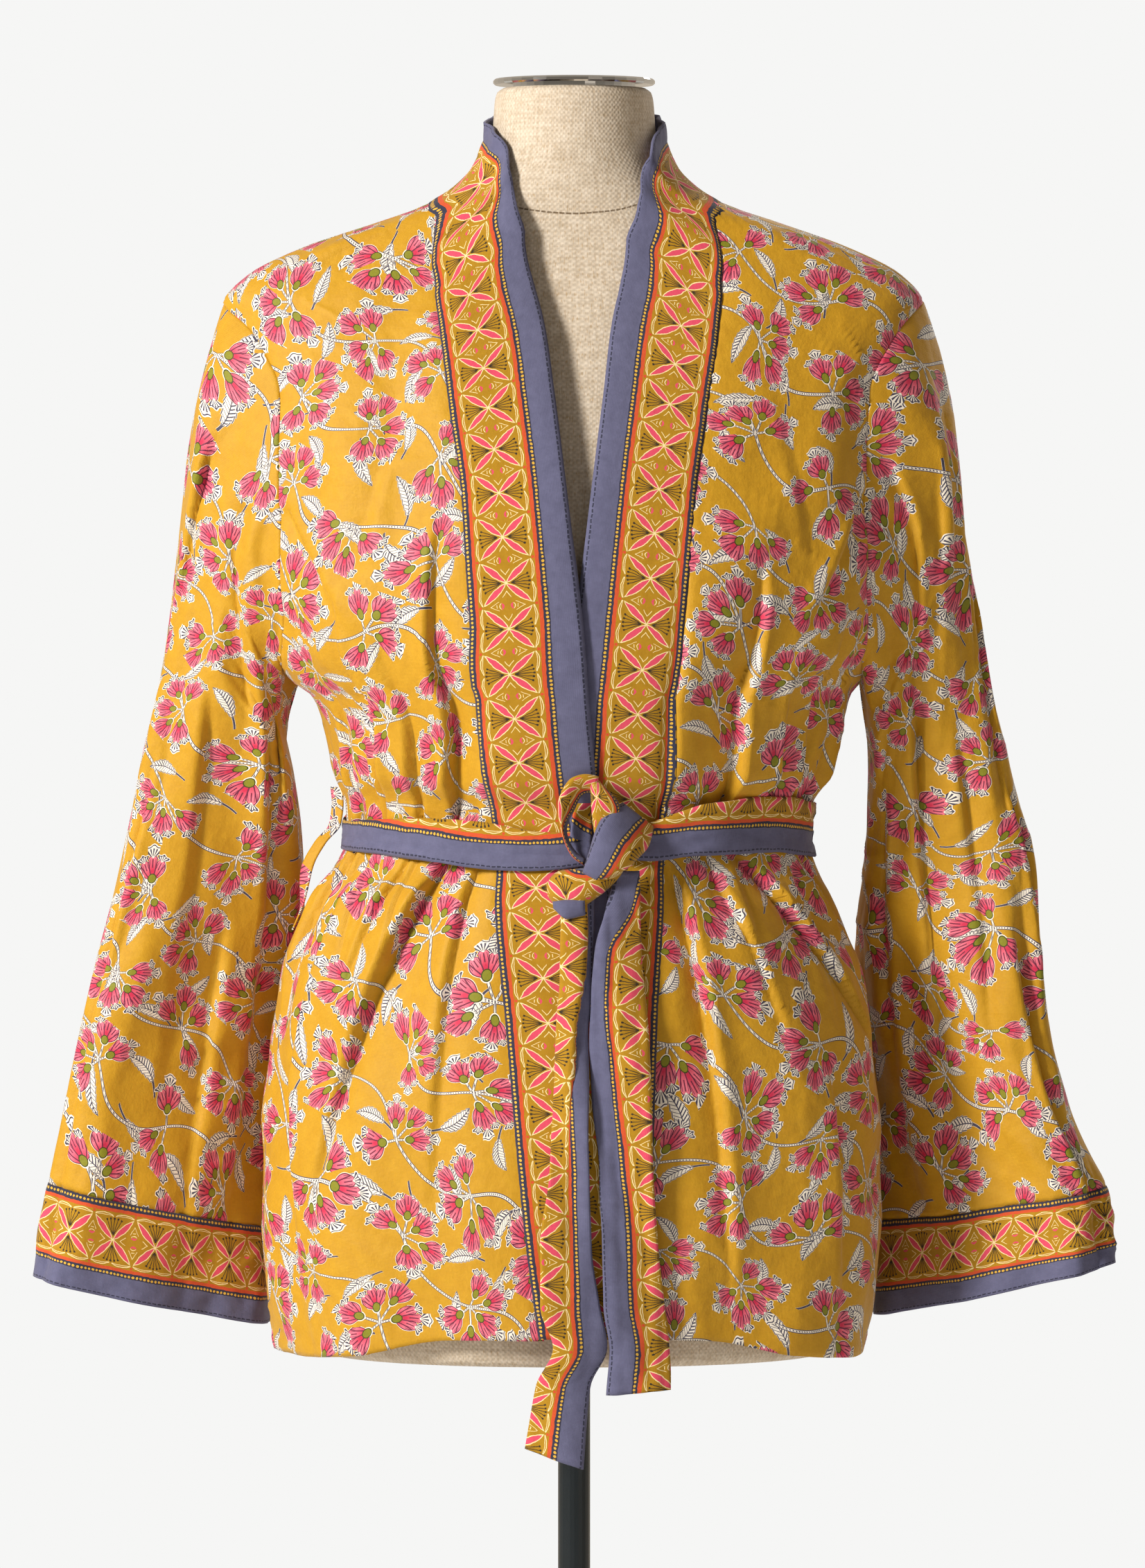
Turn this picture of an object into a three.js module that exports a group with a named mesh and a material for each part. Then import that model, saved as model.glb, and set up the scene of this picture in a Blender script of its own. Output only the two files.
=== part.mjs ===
// A kimono jacket worn by a limbless dress form on a pole stand. Millimetres, +Z up, the front faces -Y.
// The origin is on the floor under the middle of the base. "Right" and "left" are the wearer's, so right is -X.
// Every cloth piece is a wall of even thickness over one shared surface of the worn body or of a sleeve,
// so that neighbouring pieces follow the same folds and keep a seam gap.
import * as THREE from "three";

// Driving dimensions of the cloth
const WALL = 1.4; // body and sleeve cloth
const BAND_WALL = 2; // collar, folded double
const BELT_WALL = 2.6; // belt, a flat folded tube
const SEAM_GAP = 0.35;
const COLLAR_GAP = 1.1; // the collar's seam follows a sharper bend
const SQUARE = 2.2; // how square the body's plan sections are, 2 being an ellipse

// Heights of the landmarks of the worn jacket
const HEM_Z = 712;
const BELT_Z = 1032;
const ARMPIT_Z = 1128;
const SHOULDER_TIP_Z = 1362;
const NECK_POINT_Z = 1421;
const BACK_NECK_RISE = 16; // the back panel's top edge stands this much above the neck points

// The overlap of the fronts: the wearer's right front lies on the left one, lifted by this much
const OVERLAP_LIFT = 4.2;
const OVERLAP_TURNS = { start: -30, full: -16 };

// Dress form and stand
const NECK_R = 49;
const NECK_TOP_Z = 1494;
const FORM_Z = 712;
const CAP = { r: 50, thick: 3.6, hubR: 38, hubHeight: 1.8 };
const POLE_R = 10;
const BASE = { r: 150, thick: 9 };
const FORM_SIDES = 24;

// Plan sections of the worn body, inside of the cloth and before its folds: half width to the wearer's right
// and left, and half depth to the front and back.
const BODY = [
  { z: 690, right: 173, left: 176, front: 114, back: 121 },
  { z: 740, right: 187, left: 188, front: 117, back: 125 },
  { z: 790, right: 192, left: 192, front: 119, back: 128 },
  { z: 850, right: 191, left: 191, front: 119, back: 128 },
  { z: 900, right: 187, left: 186, front: 117, back: 125 },
  { z: 945, right: 180, left: 178, front: 113, back: 120 },
  { z: 970, right: 172, left: 169, front: 110, back: 115 },
  { z: 995, right: 161, left: 158, front: 106, back: 108 },
  { z: 1014, right: 147, left: 149, front: 101, back: 101 },
  { z: 1032, right: 140, left: 144, front: 99, back: 98 },
  { z: 1052, right: 141, left: 147, front: 101, back: 101 },
  { z: 1070, right: 147, left: 158, front: 112, back: 109 },
  { z: 1100, right: 152, left: 165, front: 120, back: 112 },
  { z: 1120, right: 161, left: 169, front: 125, back: 112 },
  { z: 1128, right: 172, left: 175, front: 126, back: 112 },
  { z: 1150, right: 189, left: 189, front: 129, back: 112 },
  { z: 1184, right: 199, left: 199, front: 129, back: 112 },
  { z: 1249, right: 205, left: 206, front: 118, back: 112 },
  { z: 1300, right: 208, left: 208, front: 100, back: 106 },
  { z: 1340, right: 212, left: 212, front: 80, back: 94 },
  { z: 1362, right: 215, left: 214, front: 66, back: 84 },
  { z: 1378, right: 202, left: 201, front: 57, back: 77 },
  { z: 1395, right: 168, left: 169, front: 52, back: 72 },
  { z: 1412, right: 117, left: 122, front: 51, back: 70 },
  { z: 1421, right: 92, left: 95, front: 51, back: 70 },
  { z: 1432, right: 73, left: 75, front: 51, back: 67 },
  { z: 1445, right: 61, left: 62, front: 52, back: 62 },
  { z: 1465, right: 54, left: 55, front: 52.5, back: 57 },
  { z: 1500, right: 52.5, left: 52.5, front: 52.5, back: 54 },
];

// How far the hem hangs above or below its mean height, by the turn from the front centre in degrees
const HEM_CURVE = [
  { turn: 0, rise: 20 },
  { turn: 22, rise: 18 },
  { turn: 45, rise: 6 },
  { turn: 70, rise: 1 },
  { turn: 180, rise: 0 },
];
const HEM_FADE = 120; // the curve of the hem dies out over this height

// The armhole's edge: the turn, in degrees from the front or back centre, where the panels stop
const ARMHOLE = [
  { z: 1128, turn: 90 },
  { z: 1142, turn: 74 },
  { z: 1184, turn: 64 },
  { z: 1249, turn: 60 },
  { z: 1309, turn: 59 },
  { z: 1339, turn: 66 },
  { z: 1354, turn: 77 },
  { z: 1362, turn: 90 },
];

// The largest folds of the body: each is a trough along a line from (turn1, z1) to (turn2, z2), with a soft ridge
// beside it on the side that lean gives. Turns are degrees from the front centre, the wearer's left positive.
const FOLDS = [
  { turn1: -31, z1: 1036, turn2: -52, z2: 830, depth: 15, width: 10, lean: -1 },
  { turn1: -58, z1: 1036, turn2: -66, z2: 880, depth: 7, width: 9, lean: 1 },
  { turn1: -22, z1: 1036, turn2: -24, z2: 800, depth: 6, width: 10, lean: -1 },
  { turn1: 22, z1: 1036, turn2: 29, z2: 740, depth: 10, width: 10, lean: 1 },
  { turn1: 42, z1: 1036, turn2: 78, z2: 920, depth: 13, width: 9, lean: 1 },
  { turn1: 55, z1: 900, turn2: 57, z2: 700, depth: 6, width: 14, lean: -1 },
  { turn1: -31, z1: 1028, turn2: -22, z2: 1235, depth: 13, width: 9, lean: -1 },
  { turn1: -52, z1: 1028, turn2: -44, z2: 1190, depth: 7, width: 10, lean: 1 },
  { turn1: 20, z1: 1028, turn2: 17, z2: 1225, depth: 11, width: 8, lean: 1 },
  { turn1: 38, z1: 1028, turn2: 33, z2: 1205, depth: 13, width: 9, lean: 1 },
  { turn1: 60, z1: 1030, turn2: 55, z2: 1180, depth: 7, width: 10, lean: -1 },
  { turn1: -150, z1: 1036, turn2: -140, z2: 800, depth: 12, width: 12, lean: 1 },
  { turn1: -112, z1: 1036, turn2: -105, z2: 850, depth: 9, width: 11, lean: -1 },
  { turn1: 178, z1: 1036, turn2: 174, z2: 780, depth: 11, width: 13, lean: -1 },
  { turn1: 142, z1: 1036, turn2: 132, z2: 810, depth: 12, width: 12, lean: 1 },
  { turn1: 110, z1: 1036, turn2: 104, z2: 860, depth: 9, width: 10, lean: 1 },
  { turn1: -155, z1: 1028, turn2: -163, z2: 1230, depth: 11, width: 11, lean: -1 },
  { turn1: -120, z1: 1028, turn2: -135, z2: 1190, depth: 9, width: 11, lean: 1 },
  { turn1: 170, z1: 1028, turn2: 172, z2: 1245, depth: 10, width: 12, lean: 1 },
  { turn1: 135, z1: 1028, turn2: 146, z2: 1210, depth: 10, width: 11, lean: -1 },
];
const MM_PER_DEGREE = 2.6; // arc of a fold's turn at the mean radius of the body
const GATHER = { count: 23, depth: 1.8, reach: 48 }; // small ripples where the belt draws the cloth in
const PRESSED = { middle: 1036, flat: 22, free: 52 }; // under the belt the cloth can't stand out
const FLUTES = { count: 7, depth: 4, from: 960 }; // soft waves towards the hem
const CALM_TURNS = { start: 12, full: 24 }; // the stiff front bands keep the folds away from the front centre
const CALM_ABOVE = { start: 1200, full: 1330 }; // the cloth lies smooth on the shoulders

// The collar band on a front, the outer seam and the inner edge, from the hem up. The band tilts towards the neck.
const COLLAR_RIGHT = [
  { along: 0, outerX: -21, outerZ: 732, innerX: 47, innerZ: 732 },
  { along: 60, outerX: -29, outerZ: 792, innerX: 41, innerZ: 792 },
  { along: 190, outerX: -41, outerZ: 925, innerX: 29, innerZ: 925 },
  { along: 280, outerX: -46, outerZ: 1012, innerX: 20, innerZ: 1014 },
  { along: 310, outerX: -48, outerZ: 1040, innerX: 15, innerZ: 1044 },
  { along: 370, outerX: -57, outerZ: 1098, innerX: 10, innerZ: 1103 },
  { along: 440, outerX: -62, outerZ: 1170, innerX: 4, innerZ: 1177 },
  { along: 510, outerX: -67, outerZ: 1242, innerX: -5, innerZ: 1250 },
  { along: 560, outerX: -74, outerZ: 1292, innerX: -12, innerZ: 1305 },
  { along: 600, outerX: -79, outerZ: 1330, innerX: -20, innerZ: 1355 },
  { along: 640, outerX: -84, outerZ: 1366, innerX: -30, innerZ: 1402 },
  { along: 670, outerX: -86, outerZ: 1394, innerX: -38, innerZ: 1435 },
  { along: 700, outerX: -84, outerZ: 1412, innerX: -45, innerZ: 1462 },
];
const COLLAR_LEFT = [
  { along: 0, outerX: 44, outerZ: 732, innerX: -24, innerZ: 732 },
  { along: 60, outerX: 46, outerZ: 792, innerX: -23, innerZ: 792 },
  { along: 190, outerX: 50, outerZ: 925, innerX: -18, innerZ: 925 },
  { along: 280, outerX: 54, outerZ: 1012, innerX: -12, innerZ: 1014 },
  { along: 310, outerX: 56, outerZ: 1040, innerX: -10, innerZ: 1044 },
  { along: 370, outerX: 61, outerZ: 1098, innerX: -6, innerZ: 1103 },
  { along: 440, outerX: 67, outerZ: 1170, innerX: 2, innerZ: 1177 },
  { along: 510, outerX: 73, outerZ: 1240, innerX: 11, innerZ: 1250 },
  { along: 560, outerX: 80, outerZ: 1290, innerX: 18, innerZ: 1305 },
  { along: 600, outerX: 86, outerZ: 1328, innerX: 24, innerZ: 1352 },
  { along: 640, outerX: 90, outerZ: 1366, innerX: 32, innerZ: 1398 },
  { along: 670, outerX: 89, outerZ: 1394, innerX: 41, innerZ: 1433 },
  { along: 700, outerX: 87, outerZ: 1412, innerX: 49, innerZ: 1462 },
];
// The collar's stand from the shoulder to the centre back, by its turn from the front centre
const COLLAR_NECK = [
  { along: 722, turn: 90, outerZ: 1424, innerZ: 1474 },
  { along: 755, turn: 122, outerZ: 1433, innerZ: 1480 },
  { along: 790, turn: 152, outerZ: 1438, innerZ: 1484 },
  { along: 815, turn: 179.6, outerZ: 1440, innerZ: 1485 },
];
const COLLAR_NECK_ROWS = [711, 722, 738, 755, 772, 790, 803, 815];
const COLLAR_COLUMNS = 4;

// Sections of the sleeves from the armhole down to the cuff's seam at v = 1 and its hem at v = 1.12.
// Out and in are the edges away from and next to the body, depth is half the tube's thickness between them.
const SLEEVE_RIGHT = [
  { v: 0, outX: -219, outY: 4, outZ: 1362, inX: -178, inY: 4, inZ: 1127, depth: 58 },
  { v: 0.1, outX: -230, outY: 2, outZ: 1318, inX: -181, inY: 8, inZ: 1098, depth: 54 },
  { v: 0.2, outX: -238, outY: 0, outZ: 1268, inX: -175, inY: 14, inZ: 1066, depth: 50 },
  { v: 0.32, outX: -244, outY: 0, outZ: 1208, inX: -171, inY: 24, inZ: 1034, depth: 46 },
  { v: 0.44, outX: -254, outY: 0, outZ: 1145, inX: -170, inY: 40, inZ: 1000, depth: 43 },
  { v: 0.56, outX: -267, outY: 0, outZ: 1078, inX: -170, inY: 60, inZ: 962, depth: 41 },
  { v: 0.68, outX: -283, outY: 0, outZ: 1008, inX: -175, inY: 72, inZ: 920, depth: 39 },
  { v: 0.8, outX: -300, outY: 0, outZ: 938, inX: -180, inY: 76, inZ: 873, depth: 37 },
  { v: 0.92, outX: -315, outY: 0, outZ: 866, inX: -186, inY: 72, inZ: 820, depth: 36 },
  { v: 1, outX: -324, outY: -2, outZ: 815, inX: -190, inY: 66, inZ: 782, depth: 36 },
  { v: 1.12, outX: -333, outY: -6, outZ: 757, inX: -190, inY: 58, inZ: 722, depth: 37 },
];
const SLEEVE_LEFT = [
  { v: 0, outX: 218, outY: 4, outZ: 1362, inX: 179, inY: 4, inZ: 1127, depth: 58 },
  { v: 0.1, outX: 227, outY: 2, outZ: 1318, inX: 182, inY: 8, inZ: 1098, depth: 54 },
  { v: 0.2, outX: 237, outY: 0, outZ: 1268, inX: 184, inY: 14, inZ: 1068, depth: 50 },
  { v: 0.32, outX: 244, outY: 0, outZ: 1208, inX: 184, inY: 24, inZ: 1038, depth: 46 },
  { v: 0.44, outX: 253, outY: 0, outZ: 1145, inX: 182, inY: 40, inZ: 1005, depth: 43 },
  { v: 0.56, outX: 268, outY: 0, outZ: 1078, inX: 178, inY: 58, inZ: 968, depth: 41 },
  { v: 0.68, outX: 284, outY: 0, outZ: 1008, inX: 177, inY: 72, inZ: 925, depth: 39 },
  { v: 0.8, outX: 291, outY: 0, outZ: 938, inX: 181, inY: 76, inZ: 878, depth: 37 },
  { v: 0.92, outX: 306, outY: -2, outZ: 864, inX: 186, inY: 72, inZ: 826, depth: 36 },
  { v: 1, outX: 327, outY: -6, outZ: 813, inX: 190, inY: 66, inZ: 786, depth: 36 },
  { v: 1.12, outX: 332, outY: -8, outZ: 766, inX: 190, inY: 58, inZ: 728, depth: 38 },
];
const ARMHOLE_BLEND = 0.14; // over this share of its length the sleeve leaves the armhole's shape
const SLEEVE_SHIFT = 2.9; // the sleeve's first ring stands this far outside the armhole's edge

// Folds of the sleeves along lines of the tube: the angle runs round the tube from its outer edge to the front.
const SLEEVE_FOLDS_RIGHT = [
  { angle1: 40, v1: 0.05, angle2: 62, v2: 0.6, depth: 7, width: 14 },
  { angle1: 92, v1: 0.1, angle2: 112, v2: 0.75, depth: 8, width: 15 },
  { angle1: 20, v1: 0.25, angle2: 58, v2: 0.95, depth: 6, width: 16 },
  { angle1: 128, v1: 0.4, angle2: 140, v2: 1.2, depth: 6, width: 14 },
  { angle1: -60, v1: 0.1, angle2: -85, v2: 0.8, depth: 8, width: 17 },
  { angle1: -115, v1: 0.2, angle2: -120, v2: 0.95, depth: 7, width: 16 },
];
const SLEEVE_FOLDS_LEFT = [
  { angle1: 60, v1: 0.05, angle2: 48, v2: 0.55, depth: 7, width: 13 },
  { angle1: 105, v1: 0.08, angle2: 112, v2: 1.1, depth: 7, width: 12 },
  { angle1: 30, v1: 0.35, angle2: 52, v2: 0.98, depth: 6, width: 16 },
  { angle1: 15, v1: 0.2, angle2: 22, v2: 0.7, depth: 5, width: 15 },
  { angle1: -70, v1: 0.1, angle2: -95, v2: 0.85, depth: 8, width: 17 },
  { angle1: -125, v1: 0.2, angle2: -118, v2: 0.95, depth: 7, width: 16 },
];
const SLEEVE_SIDES = 24;
const CUFF_V = 1.12;
const CUFF_SEAM = 0.0009; // the gap at the cuff's seam as a share of the sleeve's length
const MM_PER_SLEEVE_DEGREE = 1.3;

// The belt round the waist, by turn: middle height and width of what shows
const BELT = [
  { turn: -180, z: 1034, wide: 34 },
  { turn: -120, z: 1033, wide: 30 },
  { turn: -84, z: 1033, wide: 17 },
  { turn: -60, z: 1034, wide: 19 },
  { turn: -40, z: 1034, wide: 24 },
  { turn: -22, z: 1031, wide: 28 },
  { turn: -4, z: 1027, wide: 22 },
  { turn: 9, z: 1030, wide: 15 },
  { turn: 16, z: 1033, wide: 22 },
  { turn: 30, z: 1040, wide: 31 },
  { turn: 50, z: 1042, wide: 34 },
  { turn: 84, z: 1036, wide: 33 },
  { turn: 120, z: 1034, wide: 34 },
  { turn: 180, z: 1034, wide: 34 },
];
const BELT_CLEARANCE = WALL + 1.1; // the belt stands this far off the cloth's inside
const BELT_STEP = 5; // degrees
const SIDE_TURN = 88; // the belt's stretches meet at the side seams

// The hanging ends of the belt: left and right edge and distance off the body's front surface
const TAIL_RIGHT = [
  { z: 1003, x1: -6, x2: 7, off: 14.9 },
  { z: 985, x1: -7, x2: 6, off: 15 },
  { z: 958, x1: -8, x2: 8, off: 12.5 },
  { z: 915, x1: -9.5, x2: 8, off: 12 },
  { z: 872, x1: -12, x2: 9, off: 12 },
  { z: 830, x1: -15, x2: 9, off: 12 },
  { z: 786, x1: -20, x2: 10, off: 13 },
  { z: 754, x1: -20, x2: 15, off: 15 },
  { z: 728, x1: -12, x2: 19, off: 14 },
  { z: 704, x1: -22, x2: 9, off: 10 },
  { z: 660, x1: -29, x2: 5, off: 12 },
];
const TAIL_LEFT = [
  { z: 1016, x1: 27, x2: 38, off: 17 },
  { z: 1000, x1: 22, x2: 39, off: 13 },
  { z: 965, x1: 13, x2: 40, off: 10 },
  { z: 922, x1: 10, x2: 44, off: 10 },
  { z: 880, x1: 11, x2: 46, off: 10 },
  { z: 838, x1: 15, x2: 47, off: 10 },
  { z: 790, x1: 17, x2: 50, off: 11 },
  { z: 754, x1: 18, x2: 54, off: 12 },
  { z: 728, x1: 22, x2: 57, off: 10 },
  { z: 700, x1: 20, x2: 58, off: 9 },
];
const TAIL_ROWS = 20;
const TAIL_COLUMNS = 4;
const TAIL_CURL = 3; // the hanging ends bow this much across their width
const TAIL_SLANT = { right: 12, left: -3 }; // their cut ends run off level by this much

// The knot's three stretches: where each passes, its width and the direction of its flat side
const KNOT_LOOP = [
  { x: 23.8, y: -126, z: 1058.8, wide: 9, thick: 10 },
  { x: 14, y: -127.5, z: 1066.5, wide: 10, thick: 13 },
  { x: 5, y: -128, z: 1069.5, wide: 9.5, thick: 14 },
  { x: -2, y: -127.5, z: 1065, wide: 9, thick: 15 },
  { x: -5, y: -126, z: 1055, wide: 9, thick: 16 },
  { x: -4, y: -125, z: 1043, wide: 9.5, thick: 16 },
  { x: -1, y: -125, z: 1033, wide: 10, thick: 14 },
  { x: 4, y: -124, z: 1025, wide: 8, thick: 10 },
];
const KNOT_OVER = [
  { x: 38, y: -111.5, z: 1052, wide: 20, thick: 6 },
  { x: 32, y: -128, z: 1045, wide: 31, thick: 6 },
  { x: 25, y: -136.5, z: 1036, wide: 29, thick: 6 },
  { x: 16, y: -137.9, z: 1027, wide: 21, thick: 6 },
  { x: 7, y: -136.7, z: 1013, wide: 10, thick: 5 },
];
const KNOT_BAR = [
  { x: 45.5, y: -109, z: 1033, wide: 15, thick: 7 },
  { x: 33, y: -124, z: 1023, wide: 19, thick: 9 },
  { x: 16, y: -129.5, z: 1009, wide: 20, thick: 11 },
  { x: 0, y: -129, z: 1002, wide: 20, thick: 11 },
  { x: -10, y: -126, z: 1003, wide: 17, thick: 9 },
  { x: -15, y: -121, z: 1008, wide: 10, thick: 6 },
];
const KNOT_STEPS = 11;
const KNOT_SIDES = 10;

// The belt carrier at the wearer's right side seam, a thin strip that runs over the belt and hangs bowed outwards
const CARRIER = { wide: 8, thick: 1.2, steps: 14 };
const CARRIER_RIGHT = [
  { x: -147.2, y: 0, z: 1062 },
  { x: -146.4, y: -1, z: 1052 },
  { x: -148, y: -3, z: 1039 },
  { x: -157.5, y: -5, z: 1027 },
  { x: -165.5, y: -6, z: 1011 },
  { x: -168.5, y: -6, z: 988 },
  { x: -174.2, y: -5, z: 973 },
];

// Sections of the dress form, from its flat bottom to the top of the neck
const FORM = [
  { z: 712, wide: 158, front: 98, back: 104 },
  { z: 716, wide: 163, front: 103, back: 109 },
  { z: 750, wide: 171, front: 108, back: 114 },
  { z: 800, wide: 175, front: 110, back: 116 },
  { z: 860, wide: 172, front: 108, back: 113 },
  { z: 910, wide: 161, front: 103, back: 107 },
  { z: 960, wide: 143, front: 94, back: 96 },
  { z: 1005, wide: 128, front: 85, back: 86 },
  { z: 1035, wide: 126, front: 84, back: 85 },
  { z: 1070, wide: 130, front: 90, back: 88 },
  { z: 1120, wide: 140, front: 106, back: 91 },
  { z: 1165, wide: 149, front: 118, back: 95 },
  { z: 1200, wide: 153, front: 118, back: 98 },
  { z: 1250, wide: 157, front: 106, back: 100 },
  { z: 1300, wide: 168, front: 88, back: 97 },
  { z: 1335, wide: 188, front: 71, back: 87 },
  { z: 1354, wide: 202, front: 62, back: 79 },
  { z: 1368, wide: 205, front: 55, back: 73 },
  { z: 1380, wide: 195, front: 50, back: 70 },
  { z: 1394, wide: 167, front: 47, back: 67 },
  { z: 1408, wide: 125, front: 46, back: 65 },
  { z: 1418, wide: 93, front: 46.5, back: 64 },
  { z: 1429, wide: 75, front: 47, back: 60 },
  { z: 1442, wide: 59, front: 48, back: 55 },
  { z: 1460, wide: 51, front: 49, back: 51 },
  { z: 1486, wide: 49, front: 49, back: 49 },
  { z: 1491.5, wide: 47.5, front: 47.5, back: 47.5 },
  { z: 1494, wide: 44, front: 44, back: 44 },
];

const radians = THREE.MathUtils.degToRad;
const degrees = THREE.MathUtils.radToDeg;
const mix = THREE.MathUtils.lerp;
const smooth = THREE.MathUtils.smoothstep;

// A column's value on a smooth curve through a table's rows, which are in the order of their key.
function read(table, key, at, column) {
  const last = table.length - 1;
  const t = THREE.MathUtils.clamp(at, table[0][key], table[last][key]);
  let i = 0;
  while (i < last - 1 && t > table[i + 1][key]) i++;
  const slope = (k) => (table[k + 1][column] - table[k][column]) / (table[k + 1][key] - table[k][key]);
  const even = (a, b) => (a * b > 0 ? (2 * a * b) / (a + b) : 0);
  const here = slope(i);
  const start = i > 0 ? even(slope(i - 1), here) : here;
  const end = i < last - 1 ? even(here, slope(i + 1)) : here;
  const span = table[i + 1][key] - table[i][key];
  const s = (t - table[i][key]) / span;
  return (
    table[i][column] * (1 + 2 * s) * (1 - s) ** 2 +
    table[i + 1][column] * s * s * (3 - 2 * s) +
    span * (start * s * (1 - s) ** 2 - end * s * s * (1 - s))
  );
}

// A power that keeps the sign of its base.
function signedPower(base, exponent) {
  return Math.sign(base) * Math.abs(base) ** exponent;
}

// The trough and ridge of one fold at a distance across it, in fold widths.
function foldProfile(across, lean) {
  return 0.5 * Math.exp(-((across - 1.7 * lean) ** 2)) - Math.exp(-across * across);
}

// How far the folds move the body's cloth outwards at a turn in degrees and a height.
function bodyFold(turn, z) {
  const calm =
    smooth(Math.abs(turn), CALM_TURNS.start, CALM_TURNS.full) * (1 - smooth(z, CALM_ABOVE.start, CALM_ABOVE.full));
  let out = 0;
  for (const fold of FOLDS) {
    const t = (z - fold.z1) / (fold.z2 - fold.z1);
    if (t <= 0 || t >= 1) continue;
    const off = turn - mix(fold.turn1, fold.turn2, t);
    const across = ((THREE.MathUtils.euclideanModulo(off + 180, 360) - 180) * MM_PER_DEGREE) / fold.width;
    const along = smooth(t, 0, 0.12) * (1 - t) ** 0.8;
    out += fold.depth * along * foldProfile(across, fold.lean);
  }
  const near = Math.exp(-Math.abs(z - BELT_Z) / GATHER.reach);
  out += GATHER.depth * near * Math.sin(GATHER.count * radians(turn) + 0.9);
  const low = THREE.MathUtils.clamp((FLUTES.from - z) / (FLUTES.from - HEM_Z), 0, 1);
  out += FLUTES.depth * low * Math.sin(FLUTES.count * radians(turn) + 0.4);
  const free = smooth(Math.abs(z - PRESSED.middle), PRESSED.flat, PRESSED.free);
  return calm * (out > 0 ? out * free : out);
}

// A point on the worn body's surface at a turn in degrees and a height, moved outwards by lift.
function bodyPoint(turn, z, lift = 0) {
  const s = Math.sin(radians(turn));
  const c = Math.cos(radians(turn));
  const wide = read(BODY, "z", z, s < 0 ? "right" : "left");
  const deep = read(BODY, "z", z, c > 0 ? "front" : "back");
  const away = new THREE.Vector2(
    signedPower(s, 2 - 2 / SQUARE) / wide,
    -signedPower(c, 2 - 2 / SQUARE) / deep,
  ).normalize();
  const out = lift + bodyFold(turn, z);
  return new THREE.Vector3(
    wide * signedPower(s, 2 / SQUARE) + away.x * out,
    -deep * signedPower(c, 2 / SQUARE) + away.y * out,
    z,
  );
}

// The turn, in degrees, of the point of the body's front at x and height z.
function turnAt(x, z) {
  const wide = read(BODY, "z", z, x < 0 ? "right" : "left");
  return Math.sign(x) * degrees(Math.asin(Math.min(1, Math.abs(x) / wide) ** (SQUARE / 2)));
}

// The wearer's right front rises over the left one towards the front centre.
function overlapLift(turn) {
  return OVERLAP_LIFT * smooth(turn, OVERLAP_TURNS.start, OVERLAP_TURNS.full);
}

// A closed solid between two grids of points of the same size. Rows that close on themselves make a tube.
function solidBetween(outer, inner, closed) {
  const rows = outer.length;
  const columns = outer[0].length;
  const points = [...outer.flat(), ...inner.flat()].flatMap((p) => [p.x, p.y, p.z]);
  const layer = rows * columns;
  const faces = [];
  const quad = (a, b, c, d) => faces.push(a, b, c, a, c, d);
  const at = (i, j) => i * columns + (j % columns);
  const steps = closed ? columns : columns - 1;
  for (let i = 0; i < rows - 1; i++) {
    for (let j = 0; j < steps; j++) {
      quad(at(i, j), at(i, j + 1), at(i + 1, j + 1), at(i + 1, j));
      quad(layer + at(i, j), layer + at(i + 1, j), layer + at(i + 1, j + 1), layer + at(i, j + 1));
    }
    if (closed) continue;
    quad(at(i, 0), at(i + 1, 0), layer + at(i + 1, 0), layer + at(i, 0));
    const e = columns - 1;
    quad(at(i + 1, e), at(i, e), layer + at(i, e), layer + at(i + 1, e));
  }
  for (let j = 0; j < steps; j++) {
    quad(at(0, j + 1), at(0, j), layer + at(0, j), layer + at(0, j + 1));
    const e = rows - 1;
    quad(at(e, j), at(e, j + 1), layer + at(e, j + 1), layer + at(e, j));
  }
  const geometry = new THREE.BufferGeometry();
  geometry.setAttribute("position", new THREE.Float32BufferAttribute(points, 3));
  geometry.setIndex(faces);
  geometry.computeVertexNormals();
  return geometry;
}

// The unit normals of a grid of points, on the side that its columns and rows turn towards.
function gridNormals(grid, closed) {
  const columns = grid[0].length;
  const clampRow = (i) => THREE.MathUtils.clamp(i, 0, grid.length - 1);
  const column = (j) => (closed ? (j + columns) % columns : THREE.MathUtils.clamp(j, 0, columns - 1));
  return grid.map((row, i) =>
    row.map((_, j) => {
      const across = row[column(j + 1)].clone().sub(row[column(j - 1)]);
      const up = grid[clampRow(i + 1)][j].clone().sub(grid[clampRow(i - 1)][j]);
      return across.cross(up).normalize();
    }),
  );
}

// A cloth wall over a grid of inner points.
function clothWall(inner, wall, closed = false) {
  const normals = gridNormals(inner, closed);
  const outer = inner.map((row, i) => row.map((p, j) => p.clone().addScaledVector(normals[i][j], wall)));
  return solidBetween(outer, inner, closed);
}

// A grid of points from a function of row and column shares, 0 to 1.
function gridOf(rows, columns, pointAt, closed = false) {
  return Array.from({ length: rows + 1 }, (_, i) =>
    Array.from({ length: closed ? columns : columns + 1 }, (_, j) => pointAt(i / rows, j / columns)),
  );
}

// Rows of the body's panels: even steps between the landmarks
const PANEL_SPANS = [
  { from: HEM_Z, to: 990, rows: 9 },
  { from: 990, to: 1074, rows: 8 },
  { from: 1074, to: ARMPIT_Z, rows: 3 },
  { from: ARMPIT_Z, to: SHOULDER_TIP_Z, rows: 9 },
  { from: SHOULDER_TIP_Z, to: NECK_POINT_Z, rows: 6 },
];
const PANEL_LEVELS = [
  HEM_Z,
  ...PANEL_SPANS.flatMap((span) =>
    Array.from({ length: span.rows }, (_, i) => mix(span.from, span.to, (i + 1) / span.rows)),
  ),
];

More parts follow.
